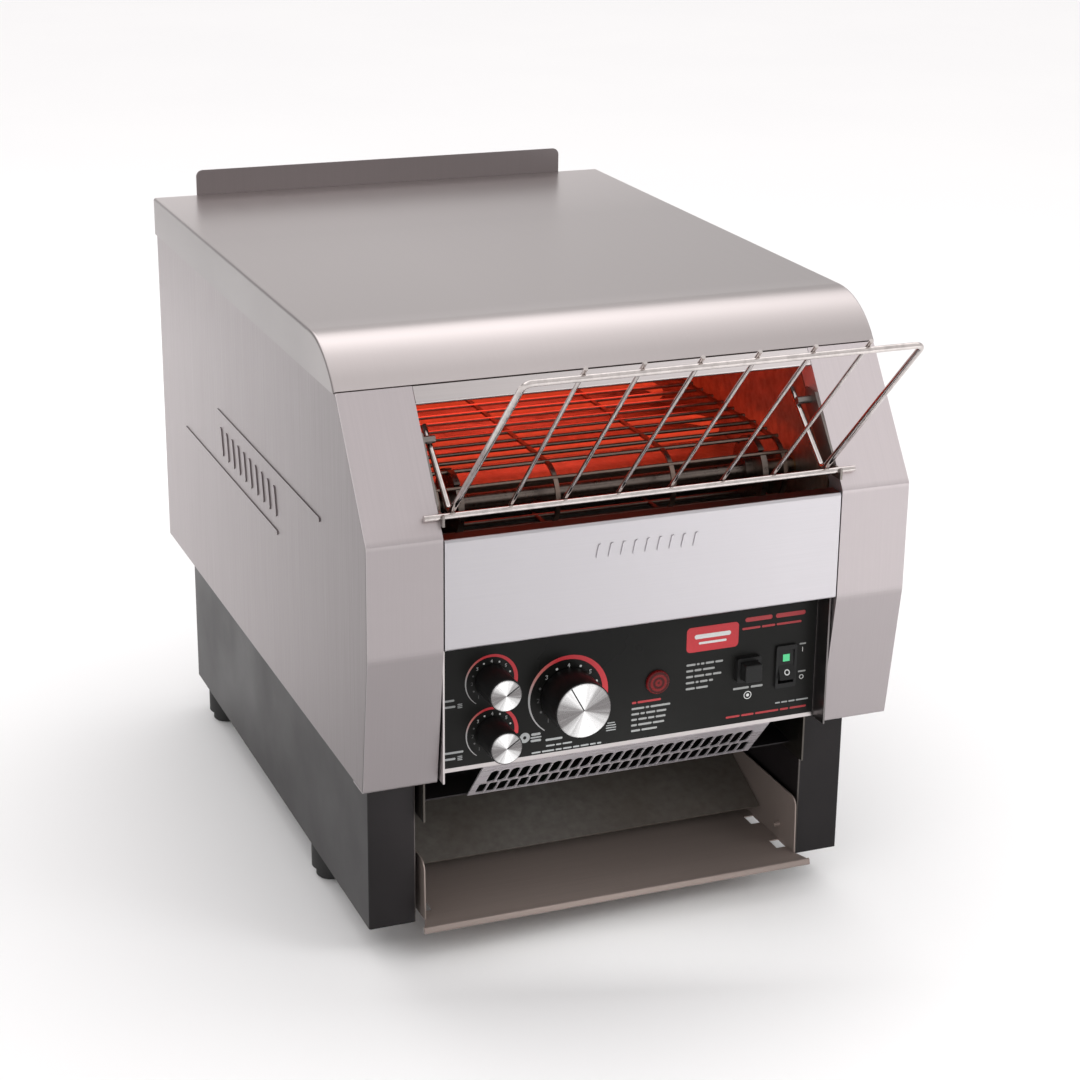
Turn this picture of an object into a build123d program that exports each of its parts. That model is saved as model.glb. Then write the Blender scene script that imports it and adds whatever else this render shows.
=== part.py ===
from build123d import *
import math
import os

# Countertop conveyor toaster. Bread is laid in the wire feed rack at the front, a wire belt carries
# it between two banks of heaters, it drops at the rear and slides down a chute onto the toast tray.
# Millimetres, +Z up, +X to the right of somebody facing the controls, front towards -Y.
# The origin is the centre of the whole object's footprint, on the counter.
# A "depth" is the distance of a point behind the upright front face.

os.makedirs("parts", exist_ok=True)

# ---------------------------------------------------------------- driving dimensions
body_width = 368.0
body_depth = 525.0
top_z = 411.0
body_bottom_z = 139.5
sheet = 1.2
thin_sheet = 1.0

# Front silhouette, from the seam under the top cover down to the bottom edge.
seam_depth = 57.0
seam_z = 384.5
upper_knee_z = 304.5
lower_knee_z = 231.5
toe_depth = 13.0
cover_bend_radius = 60.0
cover_flange_z = 383.0
opening_half_width = 134.5

# Rear upstand and cord gland.
upstand_half_width = 150.0
upstand_top_z = 430.0
gland_reach = 11.8
gland_x = 158.5
gland_z = 178.0

# Feed rack: a base rod in open notches, a bent frame wire and straight cross wires.
rod_depth = 5.4
rod_z = 316.5
rod_radius = 2.0
rod_half_length = 145.0
rack_lean = math.radians(44.2)
rack_arm_length = 155.0
rack_half_width = 126.0
rack_top_half_width = 124.0
cross_wire_radius = 1.25
cross_wire_count = 6
cross_wire_tip = 5.5

# Base and feet.
leg_inner_x = 138.0
leg_outer_x = 170.0
leg_front_depth = 45.0
leg_rear_depth = 498.0
leg_bottom_z = 25.0
leg_top_z = 160.0

# Control panel and its controls, as (x, z) centres.
panel_depth = 20.0
overlay_thickness = 0.4
top_heat_centre = (-96.0, 199.4)
bottom_heat_centre = (-95.5, 163.8)
speed_centre = (-44.0, 181.7)
lamp_centre = (17.7, 182.0)
button_centre = (81.7, 182.4)
rocker_centre = (109.8, 179.9)
small_knob_radius = 11.0
large_knob_radius = 19.0
knob_face_depth = -7.0

# Conveyor: rods on a loop round two shafts. The pitch is an eighth of the sprocket's pitch circle.
front_shaft_depth = 72.0
shaft_z = 300.0
belt_radius = 21.0
belt_teeth = 8
belt_pitch = 2 * math.pi * belt_radius / belt_teeth
straight_pitches = 22
rear_shaft_depth = front_shaft_depth + straight_pitches * belt_pitch
belt_half_width = 124.0
belt_rod_radius = 1.4
shaft_radius = 5.0
running_clearance = 0.05

# Drive chain from the gear motor to the front shaft, in the right-hand side compartment.
chain_teeth = 12
chain_pitch = 8.0
chain_radius = chain_pitch * chain_teeth / (2 * math.pi)
chain_straight_pitches = 15
chain_angle = math.radians(-71.5)
chain_x = 150.0

# The cavity walls stand at wall_x, and the pieces folded between them are a little narrower.
wall_x = 134.6
liner_half_width = 134.2
heater_radius = 3.5

# The footprint's front is the tip of the rack, and its rear is the end of the cord gland.
wire_tip_reach = 2.709
frame_radius = 2.0
weld_sink = 0.2
rack_plane_offset = rod_radius + frame_radius - weld_sink
lean_along = (-math.cos(rack_lean), math.sin(rack_lean))
lean_normal = (math.sin(rack_lean), math.cos(rack_lean))
rack_bend_radius = 5.5
rack_bend_run = 5.0
rack_start = (
    rod_depth + rack_plane_offset * lean_normal[0],
    rod_z + rack_plane_offset * lean_normal[1],
)
rack_vertex = (
    rack_start[0] - rack_bend_run * lean_along[0],
    rack_start[1] - rack_bend_run * lean_along[1],
)
top_bar = (
    rack_start[0] + rack_arm_length * lean_along[0],
    rack_start[1] + rack_arm_length * lean_along[1],
)
rear_arm_end = (60.0, 357.0)
rack_reach = wire_tip_reach - top_bar[0]
front_y = (rack_reach - body_depth - gland_reach) / 2


# ---------------------------------------------------------------- helpers
def y_at(depth):
    """The row's y at a depth behind the upright front face."""
    return front_y + depth


def in_row(points):
    """Side-view points (depth, z) as the row's (y, z)."""
    return [(y_at(depth), z) for depth, z in points]


def side_plane(x):
    """Upright plane facing +X, with its own x along +Y and its own y along +Z."""
    return Plane.YZ.offset(x)


def front_plane(depth):
    """Upright plane facing the user (-Y), with its own x along +X and its own y along +Z."""
    return Plane.XZ.offset(-y_at(depth))


def save(piece, name):
    """Label a finished piece and write it."""
    piece.part.label = name
    export_step(piece.part, f"parts/{name}.step")


def bent_outline(points, thickness, side, radii, x_low):
    """Side view of a folded sheet: a bent line with the sheet's thickness on one side of it."""
    with BuildSketch(side_plane(x_low)) as outline:
        with BuildLine():
            FilletPolyline(*in_row(points), radius=radii)
            offset(amount=thickness, side=side, kind=Kind.INTERSECTION)
        make_face()
    return outline.sketch


def side_outline(points, x_low):
    """Side view of a flat plate with straight edges."""
    with BuildSketch(side_plane(x_low)) as outline:
        with BuildLine():
            Polyline(*in_row(points), close=True)
        make_face()
    return outline.sketch


def mirrored(piece, name):
    """The left-hand twin of a right-hand piece."""
    with BuildPart() as twin:
        mirror(piece.part, about=Plane.YZ)
    save(twin, name)
    return twin


def sprocket_outline(centre, radius, teeth, rod_clearance, tip_height, bore, first_angle, x_low):
    """A toothed disc: a round blank, a bore, and one open gap for each tooth space."""
    with BuildSketch(side_plane(x_low)) as outline:
        with Locations(in_row([centre])[0]):
            Circle(radius + tip_height)
            Circle(bore, mode=Mode.SUBTRACT)
            with PolarLocations(radius, teeth, start_angle=first_angle):
                Circle(rod_clearance, mode=Mode.SUBTRACT)
            with PolarLocations(radius + rod_clearance, teeth, start_angle=first_angle):
                Rectangle(2 * rod_clearance, 2 * rod_clearance, mode=Mode.SUBTRACT)
    return outline.sketch


def loop_points(start, angle, straight_count, pitch, radius, teeth):
    """Rod centres (depth, z) round a two-sprocket loop, evenly spaced by one pitch."""
    along = (math.cos(angle), math.sin(angle))
    across = (-math.sin(angle), math.cos(angle))
    length = straight_count * pitch
    far = (start[0] + length * along[0], start[1] + length * along[1])
    points = []
    for index in range(straight_count):
        step = index * pitch
        for side, base in ((1, start), (-1, far)):
            points.append(
                (
                    base[0] + side * (step * along[0] + radius * across[0]),
                    base[1] + side * (step * along[1] + radius * across[1]),
                )
            )
    for index in range(teeth // 2):
        turn = angle + math.pi / 2 - index * 2 * math.pi / teeth
        points.append((far[0] + radius * math.cos(turn), far[1] + radius * math.sin(turn)))
        points.append((start[0] - radius * math.cos(turn), start[1] - radius * math.sin(turn)))
    return points


def loop_band(start, angle, length, radius, thickness, x_low):
    """Side view of a closed band of even thickness that runs round both sprockets."""
    middle = (
        start[0] + math.cos(angle) * length / 2,
        start[1] + math.sin(angle) * length / 2,
    )
    turn = math.degrees(angle)
    with BuildSketch(side_plane(x_low)) as outline:
        with Locations(in_row([middle])[0]):
            SlotCenterToCenter(length, 2 * (radius + thickness / 2), rotation=turn)
            SlotCenterToCenter(
                length, 2 * (radius - thickness / 2), rotation=turn, mode=Mode.SUBTRACT
            )
    return outline.sketch


# ---------------------------------------------------------------- outer casing
# Top cover: flat top, wide bend down to the front seam, and a flange down each side.
cover_rear_depth = body_depth - sheet - 0.2
cover_corner_depth = seam_depth * (top_z - upper_knee_z) / (seam_z - upper_knee_z)
cover_line = [(cover_rear_depth, top_z), (cover_corner_depth, top_z), (seam_depth, seam_z)]
flange_x = body_width / 2 - sheet

slope_angle = math.atan2(seam_z - upper_knee_z, seam_depth)


def inner_slope_depth(z):
    """Depth of the cover's inner face on its sloping front, at a height."""
    return seam_depth + (z - seam_z) / math.tan(slope_angle) + sheet / math.sin(slope_angle)


# The cover is a block with its long edges rounded, hollowed from below by the space inside it.
cover_hollow = [
    (body_depth + 5, top_z - sheet),
    (inner_slope_depth(top_z - sheet), top_z - sheet),
    (inner_slope_depth(cover_flange_z - 4), cover_flange_z - 4),
]
cover_closing = [
    (seam_depth, seam_z),
    (seam_depth + 1.0, cover_flange_z),
    (cover_rear_depth, cover_flange_z),
    (cover_rear_depth, top_z),
]
with BuildPart() as top_cover:
    with BuildSketch(side_plane(-body_width / 2)):
        with BuildLine():
            FilletPolyline(*in_row(cover_line), radius=cover_bend_radius)
            Polyline(*in_row(cover_closing))
        make_face()
    extrude(amount=body_width)
    long_edges = top_cover.edges().filter_by(
        lambda edge: abs(edge.center().X) > flange_x
        and edge.center().Z > seam_z + 0.1
        and edge.center().Y < y_at(cover_rear_depth - 1)
    )
    fillet(long_edges, radius=1.8)
    with BuildSketch(side_plane(-flange_x)):
        with BuildLine():
            FilletPolyline(*in_row(cover_hollow), radius=cover_bend_radius - sheet)
            Polyline(
                *in_row([cover_hollow[-1], (body_depth + 5, cover_flange_z - 4), cover_hollow[0]])
            )
        make_face()
    extrude(amount=2 * flange_x, mode=Mode.SUBTRACT)
save(top_cover, "top_cover")

# Rear panel: closes the back, with a low upstand, vent slots, a gland hole and screw holes.
rear_face_depth = body_depth - sheet
rear_half_width = flange_x - sheet - 0.2
rear_top_z = top_z - sheet - 0.2
screw_x = rear_half_width - 8.0
screw_shank_radius = 2.0
rear_screw_column = [(screw_x, 155.0), (screw_x, 270.0), (screw_x, 372.0), (60.0, 372.0)]
rear_screw_places = [(side * across, z) for side in (-1, 1) for across, z in rear_screw_column]
rear_low_z = body_bottom_z + 1.5
rear_return = 24.0
upstand_low_z = 380.0
upstand_corner = 5.0
vent_centre = (-60.0, 205.0)
vent_pitch = (48.0, 9.0)
vent_slot = (38.0, 3.6)
gland_thread_radius = 8.0
with BuildPart() as rear_panel:
    with BuildSketch(front_plane(rear_face_depth)):
        with Locations((0, (rear_low_z + rear_top_z) / 2)):
            Rectangle(2 * rear_half_width, rear_top_z - rear_low_z)
    extrude(amount=sheet)
    with BuildSketch(front_plane(rear_face_depth)):
        with Locations((0, rear_low_z + sheet / 2)):
            Rectangle(2 * rear_half_width, sheet)
    extrude(amount=rear_return)
    with BuildSketch(front_plane(body_depth)):
        with Locations((0, (upstand_low_z + upstand_top_z) / 2)):
            upstand_face = Rectangle(2 * upstand_half_width, upstand_top_z - upstand_low_z)
        fillet(upstand_face.vertices().group_by(Axis.Y)[-1], radius=upstand_corner)
    extrude(amount=sheet)
    with BuildSketch(front_plane(body_depth)):
        with Locations(vent_centre):
            with GridLocations(*vent_pitch, 3, 7):
                SlotOverall(*vent_slot)
        with Locations((gland_x, gland_z)):
            Circle(gland_thread_radius + running_clearance)
        with Locations(rear_screw_places):
            Circle(screw_shank_radius + running_clearance)
    extrude(amount=3 * sheet, mode=Mode.SUBTRACT)
save(rear_panel, "rear_panel")

screw_head_radius = 3.6
screw_head_height = 2.2
screw_cross = (4.6, 0.9)
screw_length = 7.0
with BuildPart() as panel_screws:
    with BuildSketch(front_plane(rear_face_depth)):
        with Locations(rear_screw_places):
            Circle(screw_head_radius)
    extrude(amount=-screw_head_height)
    with BuildSketch(front_plane(rear_face_depth + screw_head_height)):
        with Locations(rear_screw_places):
            Rectangle(*screw_cross)
            Rectangle(*reversed(screw_cross))
    extrude(amount=screw_head_height / 2, mode=Mode.SUBTRACT)
    with BuildSketch(front_plane(rear_face_depth)):
        with Locations(rear_screw_places):
            Circle(screw_shank_radius)
    extrude(amount=screw_length)
save(panel_screws, "panel_screws")

# Side panels: flat sheets with a return along the bottom and plain raised beads on the outside.
bead_height = 0.8
bead_slot = (255.0, 3.2)
bead_centres = [(222.0, 291.0), (322.0, 249.0)]
side_bar = (21.0, 5.5)
side_bar_pitch = 15.5
side_bar_count = 10
side_mark_centre = (270.0, 270.0)
bar_lean = 78.0
side_top = (74.0, 395.0)
side_rear_depth = rear_face_depth - sheet - 0.2
side_return_low_x = leg_outer_x + 0.4
side_return_length = 500.0
side_line = [
    side_top,
    (seam_depth + 2.0, seam_z),
    (1.9, upper_knee_z - 0.2),
    (1.6, lower_knee_z + 0.2),
    (toe_depth + 1.8, body_bottom_z),
    (side_rear_depth, body_bottom_z),
    (side_rear_depth, side_top[1]),
]
with BuildPart() as right_side_panel:
    extrude(side_outline(side_line, flange_x - sheet), amount=sheet)
    with BuildSketch(Plane.XY.offset(body_bottom_z)):
        with Locations(((side_return_low_x + flange_x) / 2, y_at(side_mark_centre[0]))):
            Rectangle(flange_x - side_return_low_x, side_return_length)
    extrude(amount=sheet)
    with BuildSketch(side_plane(flange_x)):
        with Locations(*in_row(bead_centres)):
            SlotOverall(*bead_slot)
        with Locations(*in_row([side_mark_centre])):
            with GridLocations(side_bar_pitch, 1, side_bar_count, 1):
                SlotOverall(*side_bar, rotation=bar_lean)
    extrude(amount=bead_height)
save(right_side_panel, "right_side_panel")
mirrored(right_side_panel, "left_side_panel")

# Front columns: three facets beside the openings, with a return into the opening.
return_depth = 18.0
column_bottom_z = body_bottom_z - 1.4
column_bend_radius = 2.4
column_foot = 20.0
column_line = [
    (seam_depth - 0.5, seam_z - 0.7),
    (0, upper_knee_z),
    (0, lower_knee_z),
    (toe_depth, column_bottom_z),
    (toe_depth + column_foot, column_bottom_z),
]
column_return_line = [
    (seam_depth - 0.2, cover_flange_z),
    (1.1, upper_knee_z),
    (1.1, lower_knee_z),
    (toe_depth + 1.1, column_bottom_z + 0.2),
    (toe_depth + return_depth, column_bottom_z + 0.2),
    (return_depth, lower_knee_z),
    (return_depth, upper_knee_z),
    (seam_depth + return_depth, cover_flange_z),
]
with BuildPart() as right_front_column:
    extrude(
        bent_outline(column_line, sheet, Side.LEFT, column_bend_radius, opening_half_width),
        amount=flange_x - opening_half_width,
    )
    extrude(side_outline(column_return_line, opening_half_width), amount=sheet)
save(right_front_column, "right_front_column")
mirrored(right_front_column, "left_front_column")

# Hood trim: the strip across the top of the feed opening, folded back at its lower edge.
hood_trim_line = [(56.4, 383.66), (48.8, 373.0), (62.0, 373.0)]
hood_trim_bend = 1.6
with BuildPart() as hood_trim:
    extrude(
        bent_outline(hood_trim_line, sheet, Side.LEFT, hood_trim_bend, -liner_half_width),
        amount=2 * liner_half_width,
    )
save(hood_trim, "hood_trim")

# Front panel: upright, folded back at top and bottom, with a row of plain embossed ribs.
front_panel_half_width = 133.6
front_panel_top_z = 303.0
front_panel_low_z = 231.2
front_panel_line = [
    (12.0, front_panel_top_z),
    (0, front_panel_top_z),
    (0, front_panel_low_z),
    (19.4, front_panel_low_z),
]
panel_bend_radius = 2.0
rib_centre = (-0.5, 284.2)
rib_pitch = 8.2
rib_count = 9
rib_slot = (9.6, 2.6)
rib_height = 0.8
with BuildPart() as front_panel:
    extrude(
        bent_outline(
            front_panel_line, sheet, Side.LEFT, panel_bend_radius, -front_panel_half_width
        ),
        amount=2 * front_panel_half_width,
    )
    with BuildSketch(front_plane(0)):
        with Locations(rib_centre):
            with GridLocations(rib_pitch, 1, rib_count, 1):
                SlotOverall(*rib_slot, rotation=bar_lean)
    extrude(amount=rib_height)
save(front_panel, "front_panel")

# Control panel: set back behind the front panel, with side returns, holes for every control.
panel_half_width = 133.4
panel_top_z = 230.8
panel_bottom_z = 140.6
knob_centres = [top_heat_centre, bottom_heat_centre, speed_centre]
panel_side_return = 15.0
panel_low_return = 9.0
spindle_hole_radius = 4.5
lamp_hole_radius = 6.3
button_hole = 14.2
rocker_hole = (13.6, 27.6)
with BuildPart() as control_panel:
    with BuildSketch(front_plane(panel_depth + sheet)):
        with Locations((0, (panel_top_z + panel_bottom_z) / 2)):
            Rectangle(2 * panel_half_width, panel_top_z - panel_bottom_z)
    extrude(amount=sheet)
    for side in (-1, 1):
        return_x = side * (panel_half_width - sheet / 2)
        with BuildSketch(Plane.XY.offset(panel_bottom_z)):
            with Locations((return_x, y_at(panel_depth - panel_side_return / 2))):
                Rectangle(sheet, panel_side_return)
        extrude(amount=panel_top_z - panel_bottom_z)
    with BuildSketch(front_plane(panel_depth + sheet)):
        with Locations((0, panel_bottom_z + sheet / 2)):
            Rectangle(2 * panel_half_width, sheet)
    extrude(amount=-panel_low_return)
    with BuildSketch(front_plane(panel_depth + sheet)):
        with Locations(knob_centres):
            Circle(spindle_hole_radius)
        with Locations(lamp_centre):
            Circle(lamp_hole_radius)
        with Locations(button_centre):
            Rectangle(button_hole, button_hole)
        with Locations(rocker_centre):
            Rectangle(*rocker_hole)
    extrude(amount=2 * sheet, mode=Mode.SUBTRACT)
save(control_panel, "control_panel")

overlay_half_width = 131.6
overlay_low_z = 143.6
overlay_margin = 0.1
with BuildPart() as control_overlay:
    with BuildSketch(front_plane(panel_depth)):
        with Locations((0, (panel_top_z + overlay_low_z) / 2)):
            Rectangle(2 * overlay_half_width, panel_top_z - overlay_low_z)
        with Locations(knob_centres):
            Circle(spindle_hole_radius + overlay_margin, mode=Mode.SUBTRACT)
        with Locations(lamp_centre):
            Circle(lamp_hole_radius + overlay_margin, mode=Mode.SUBTRACT)
        with Locations(button_centre):
            Rectangle(button_hole + overlay_margin, button_hole + overlay_margin, mode=Mode.SUBTRACT)
        with Locations(rocker_centre):
            Rectangle(rocker_hole[0] + overlay_margin, rocker_hole[1] + overlay_margin, mode=Mode.SUBTRACT)
    extrude(amount=overlay_thickness)
save(control_overlay, "control_overlay")

# Discharge guard: a perforated strip that leans back from the panel's bottom edge.
guard_top = (20.6, 139.8)
guard_bottom = (50.0, 107.0)
guard_length = math.dist(guard_top, guard_bottom)
guard_half_width = 101.0
guard_down = (
    (guard_bottom[0] - guard_top[0]) / guard_length,
    (guard_bottom[1] - guard_top[1]) / guard_length,
)
guard_plane = Plane(
    origin=(0, y_at((guard_top[0] + guard_bottom[0]) / 2), (guard_top[1] + guard_bottom[1]) / 2),
    x_dir=(1, 0, 0),
    z_dir=(0, guard_down[1], -guard_down[0]),
)
guard_pitch = 7.2
guard_columns = 26
guard_slot = (18.4, 6.0)
guard_slot_up = 4.4
guard_hole = (6.0, 15.0)
guard_hole_up = -13.2
guard_hole_corner = 1.4
with BuildPart() as discharge_guard:
    with BuildSketch(guard_plane):
        Rectangle(2 * guard_half_width, guard_length)
        with Locations((0, guard_slot_up)):
            with GridLocations(guard_pitch, 1, guard_columns, 1):
                SlotOverall(*guard_slot, rotation=90, mode=Mode.SUBTRACT)
        with Locations((0, guard_hole_up)):
            with GridLocations(guard_pitch, 1, guard_columns + 1, 1):
                RectangleRounded(*guard_hole, guard_hole_corner, mode=Mode.SUBTRACT)
    extrude(amount=-thin_sheet)
save(discharge_guard, "discharge_guard")

# ---------------------------------------------------------------- base
leg_length = leg_rear_depth - leg_front_depth
leg_corner = 1.6
with BuildPart() as right_base_leg:
    with BuildSketch(Plane.XY.offset(leg_bottom_z)):
        with Locations(((leg_inner_x + leg_outer_x) / 2, y_at((leg_front_depth + leg_rear_depth) / 2))):
            RectangleRounded(leg_outer_x - leg_inner_x, leg_length, leg_corner)
    extrude(amount=leg_top_z - leg_bottom_z)
    offset(amount=-sheet, openings=right_base_leg.faces().sort_by(Axis.Z)[-1])
save(right_base_leg, "right_base_leg")
mirrored(right_base_leg, "left_base_leg")

base_half_width = leg_inner_x - 0.2
base_line = [(leg_rear_depth, 139.0), (leg_rear_depth, leg_bottom_z), (190.0, leg_bottom_z)]
base_vent_depth = 380.0
base_vent_pitch = (24.0, 40.0)
base_vent_slot = (30.0, 5.0)
with BuildPart() as base_floor:
    extrude(
        bent_outline(base_line, sheet, Side.RIGHT, panel_bend_radius, -base_half_width),
        amount=2 * base_half_width,
    )
    with BuildSketch(Plane.XY.offset(leg_bottom_z)):
        with Locations((0, y_at(base_vent_depth))):
            with GridLocations(*base_vent_pitch, 7, 3):
                SlotOverall(*base_vent_slot, rotation=90)
    extrude(amount=sheet, mode=Mode.SUBTRACT)
save(base_floor, "base_floor")

foot_x = 156.0
foot_depths = (175.0, 461.0)
foot_places = [(side * foot_x, y_at(depth)) for side in (-1, 1) for depth in foot_depths]
foot_pad_radius = 11.0
foot_pad_height = 8.0
foot_nut_radius = 14.0
foot_socket = (4.5, 5.0)
with BuildPart() as feet:
    with BuildSketch(Plane.XY):
        with Locations(foot_places):
            Circle(foot_pad_radius)
    extrude(amount=foot_pad_height)
    with BuildSketch(Plane.XY.offset(foot_pad_height)):
        with Locations(foot_places):
            Circle(foot_nut_radius)
    extrude(amount=leg_bottom_z - foot_pad_height)
    chamfer(feet.edges().group_by(Axis.Z)[0], length=1.0)
    with BuildSketch(Plane.XY):
        with Locations(foot_places):
            Circle(foot_socket[0])
    extrude(amount=foot_socket[1], mode=Mode.SUBTRACT)
save(feet, "feet")

# ---------------------------------------------------------------- toasting chamber
# Heater legs cross the chamber in pairs; each pair is one hairpin with its ends in the left wall.
hairpin_depths = (160.0, 253.0, 346.0)
hairpin_half_gap = 20.0
upper_heater_z = 376.0
lower_heater_z = 304.0
heater_leg_places = [
    (depth + side * hairpin_half_gap, z)
    for z in (upper_heater_z, lower_heater_z)
    for depth in hairpin_depths
    for side in (-1, 1)
]
motor_centre = (
    front_shaft_depth + chain_straight_pitches * chain_pitch * math.cos(chain_angle),
    shaft_z + chain_straight_pitches * chain_pitch * math.sin(chain_angle),
)
shaft_centres = [(front_shaft_depth, shaft_z), (rear_shaft_depth, shaft_z)]
fan_centre = (108.0, 200.0)
fan_opening_radius = 27.0
bearing_radius = 8.0
bushing_radius = 4.4
motor_hole_radius = 6.0

wall_low_z = 100.0
wall_top_z = 398.0
wall_front_depth = 20.6
wall_foot_depths = (36.0, 495.0)
wall_hood_depth = 80.0
wall_rear_depth = 521.0
wall_rear_low_z = 143.0
wall_line = [
    (wall_foot_depths[0], wall_low_z),
    (wall_foot_depths[0], body_bottom_z),
    (wall_front_depth, lower_knee_z),
    (wall_front_depth, upper_knee_z + 1.5),
    (wall_hood_depth, 388.0),
    (wall_hood_depth, wall_top_z),
    (wall_rear_depth, wall_top_z),
    (wall_rear_depth, wall_rear_low_z),
    (wall_foot_depths[1], wall_rear_low_z),
    (wall_foot_depths[1], wall_low_z),
]
with BuildPart() as right_cavity_wall:
    extrude(side_outline(wall_line, wall_x), amount=sheet)
    with BuildSketch(side_plane(wall_x)):
        with Locations(in_row(shaft_centres)):
            Circle(bearing_radius + running_clearance)
        with Locations(in_row([motor_centre])):
            Circle(motor_hole_radius)
    extrude(amount=sheet, mode=Mode.SUBTRACT)
save(right_cavity_wall, "right_cavity_wall")

with BuildPart() as left_cavity_wall:
    extrude(side_outline(wall_line, -wall_x - sheet), amount=sheet)
    with BuildSketch(side_plane(-wall_x - sheet)):
        with Locations(in_row(shaft_centres)):
            Circle(bearing_radius + running_clearance)
        with Locations(in_row(heater_leg_places)):
            Circle(bushing_radius + running_clearance)
        with Locations(in_row([fan_centre])):
            Circle(fan_opening_radius)
    extrude(amount=sheet, mode=Mode.SUBTRACT)
save(left_cavity_wall, "left_cavity_wall")

# Folded sheets of the chamber: a side-view line (depth, z), its bend radius and its half width.
upper_reflector_line = [(64.5, 375.5), (73.0, 388.0), (508.0, 388.0)]
lower_reflector_line = [(104.0, 297.0), (109.0, 290.0), (398.0, 290.0), (403.0, 297.0)]
cavity_floor_line = [(14.5, 299.5), (31.0, 286.0), (37.0, 263.0), (425.0, 263.0)]
control_box_line = [(165.0, 262.4), (165.0, 150.0), (75.0, 110.0), (52.6, 107.8)]
for liner_name, liner_line, liner_bend, half_width in (
    ("upper_reflector", upper_reflector_line, 4.0, liner_half_width),
    ("lower_reflector", lower_reflector_line, 3.0, liner_half_width),
    ("cavity_floor", cavity_floor_line, 4.0, liner_half_width),
    ("control_box", control_box_line, 6.0, liner_half_width - 0.4),
):
    with BuildPart() as folded_liner:
        extrude(
            bent_outline(liner_line, thin_sheet, Side.LEFT, liner_bend, -half_width),
            amount=2 * half_width,
        )
    save(folded_liner, liner_name)

# Chute: upright behind the belt's end, then a wide bend into a slope down to the tray.
chute_lip = (90.0, 42.0)
chute_rear_depth = 509.0
chute_slope = math.radians(24)
chute_corner_z = chute_lip[1] + (chute_rear_depth - chute_lip[0]) * math.tan(chute_slope)
chute_line = [(chute_rear_depth, 386.0), (chute_rear_depth, chute_corner_z), chute_lip]
chute_bend_radius = 60.0
chute_half_width = 133.0
with BuildPart() as toast_chute:
    extrude(
        bent_outline(chute_line, thin_sheet, Side.LEFT, chute_bend_radius, -chute_half_width),
        amount=2 * chute_half_width,
    )
save(toast_chute, "toast_chute")

# Heaters: bent tubes, and a ceramic bushing where each leg goes through the left wall.
heater_bend_x = 118.0
heater_end_x = -160.0
for heater_name, heater_z in (("upper_heaters", upper_heater_z), ("lower_heaters", lower_heater_z)):
    with BuildPart() as heaters:
        for depth in hairpin_depths:
            near = y_at(depth - hairpin_half_gap)
            far = y_at(depth + hairpin_half_gap)
            with BuildLine() as hairpin:
                FilletPolyline(
                    (heater_end_x, near, heater_z),
                    (heater_bend_x, near, heater_z),
                    (heater_bend_x, far, heater_z),
                    (heater_end_x, far, heater_z),
                    radius=hairpin_half_gap - 1,
                )
            with BuildSketch(Plane(origin=hairpin.line @ 0, z_dir=hairpin.line % 0)):
                Circle(heater_radius)
            sweep()
    save(heaters, heater_name)

bushing_low_x = -wall_x - 6.0
bushing_length = 8.0
bushing_collar_radius = 6.5
with BuildPart() as heater_bushings:
    for outer_radius, length in (
        (bushing_radius, bushing_length),
        (bushing_collar_radius, -wall_x - sheet - 0.2 - bushing_low_x),
    ):
        with BuildSketch(side_plane(bushing_low_x)):
            with Locations(in_row(heater_leg_places)):
                Circle(outer_radius)
                Circle(heater_radius + running_clearance, mode=Mode.SUBTRACT)
        extrude(amount=length)
save(heater_bushings, "heater_bushings")

# ---------------------------------------------------------------- conveyor
front_centre = (front_shaft_depth, shaft_z)
rear_centre = (rear_shaft_depth, shaft_z)
belt_length = straight_pitches * belt_pitch
band_width = 3.0
band_thickness = 1.6
band_xs = (-120.0, -40.0, 40.0, 120.0)
belt_rod_places = loop_points(
    front_centre, 0.0, straight_pitches, belt_pitch, belt_radius, belt_teeth
)
with BuildPart() as conveyor_belt:
    for band_x in band_xs:
        band_low_x = band_x - band_width / 2
        extrude(
            loop_band(front_centre, 0.0, belt_length, belt_radius, band_thickness, band_low_x),
            amount=band_width,
        )
    with BuildSketch(side_plane(-belt_half_width)):
        with Locations(in_row(belt_rod_places)):
            Circle(belt_rod_radius)
    extrude(amount=2 * belt_half_width)
save(conveyor_belt, "conveyor_belt")

sprocket_xs = (-105.0, 105.0)
sprocket_thickness = 4.0
sprocket_tip = 1.8
sprocket_gap_radius = belt_rod_radius + 0.5
hub_radius = 9.0
hub_width = 14.0
for place_name, centre in (("front", front_centre), ("rear", rear_centre)):
    with BuildPart() as sprockets:
        for disc_x in sprocket_xs:
            extrude(
                sprocket_outline(
                    centre, belt_radius, belt_teeth, sprocket_gap_radius, sprocket_tip,
                    shaft_radius + running_clearance, 90.0, disc_x - sprocket_thickness / 2,
                ),
                amount=sprocket_thickness,
            )
            with BuildSketch(side_plane(disc_x - hub_width / 2)):
                with Locations(in_row([centre])):
                    Circle(hub_radius)
                    Circle(shaft_radius + running_clearance, mode=Mode.SUBTRACT)
            extrude(amount=hub_width)
    save(sprockets, f"{place_name}_sprockets")

shaft_end_x = wall_x + sheet + 8.0
with BuildPart() as rear_shaft:
    with BuildSketch(side_plane(-shaft_end_x)):
        with Locations(in_row([rear_centre])):
            Circle(shaft_radius)
    extrude(amount=2 * shaft_end_x)
save(rear_shaft, "rear_shaft")

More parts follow.
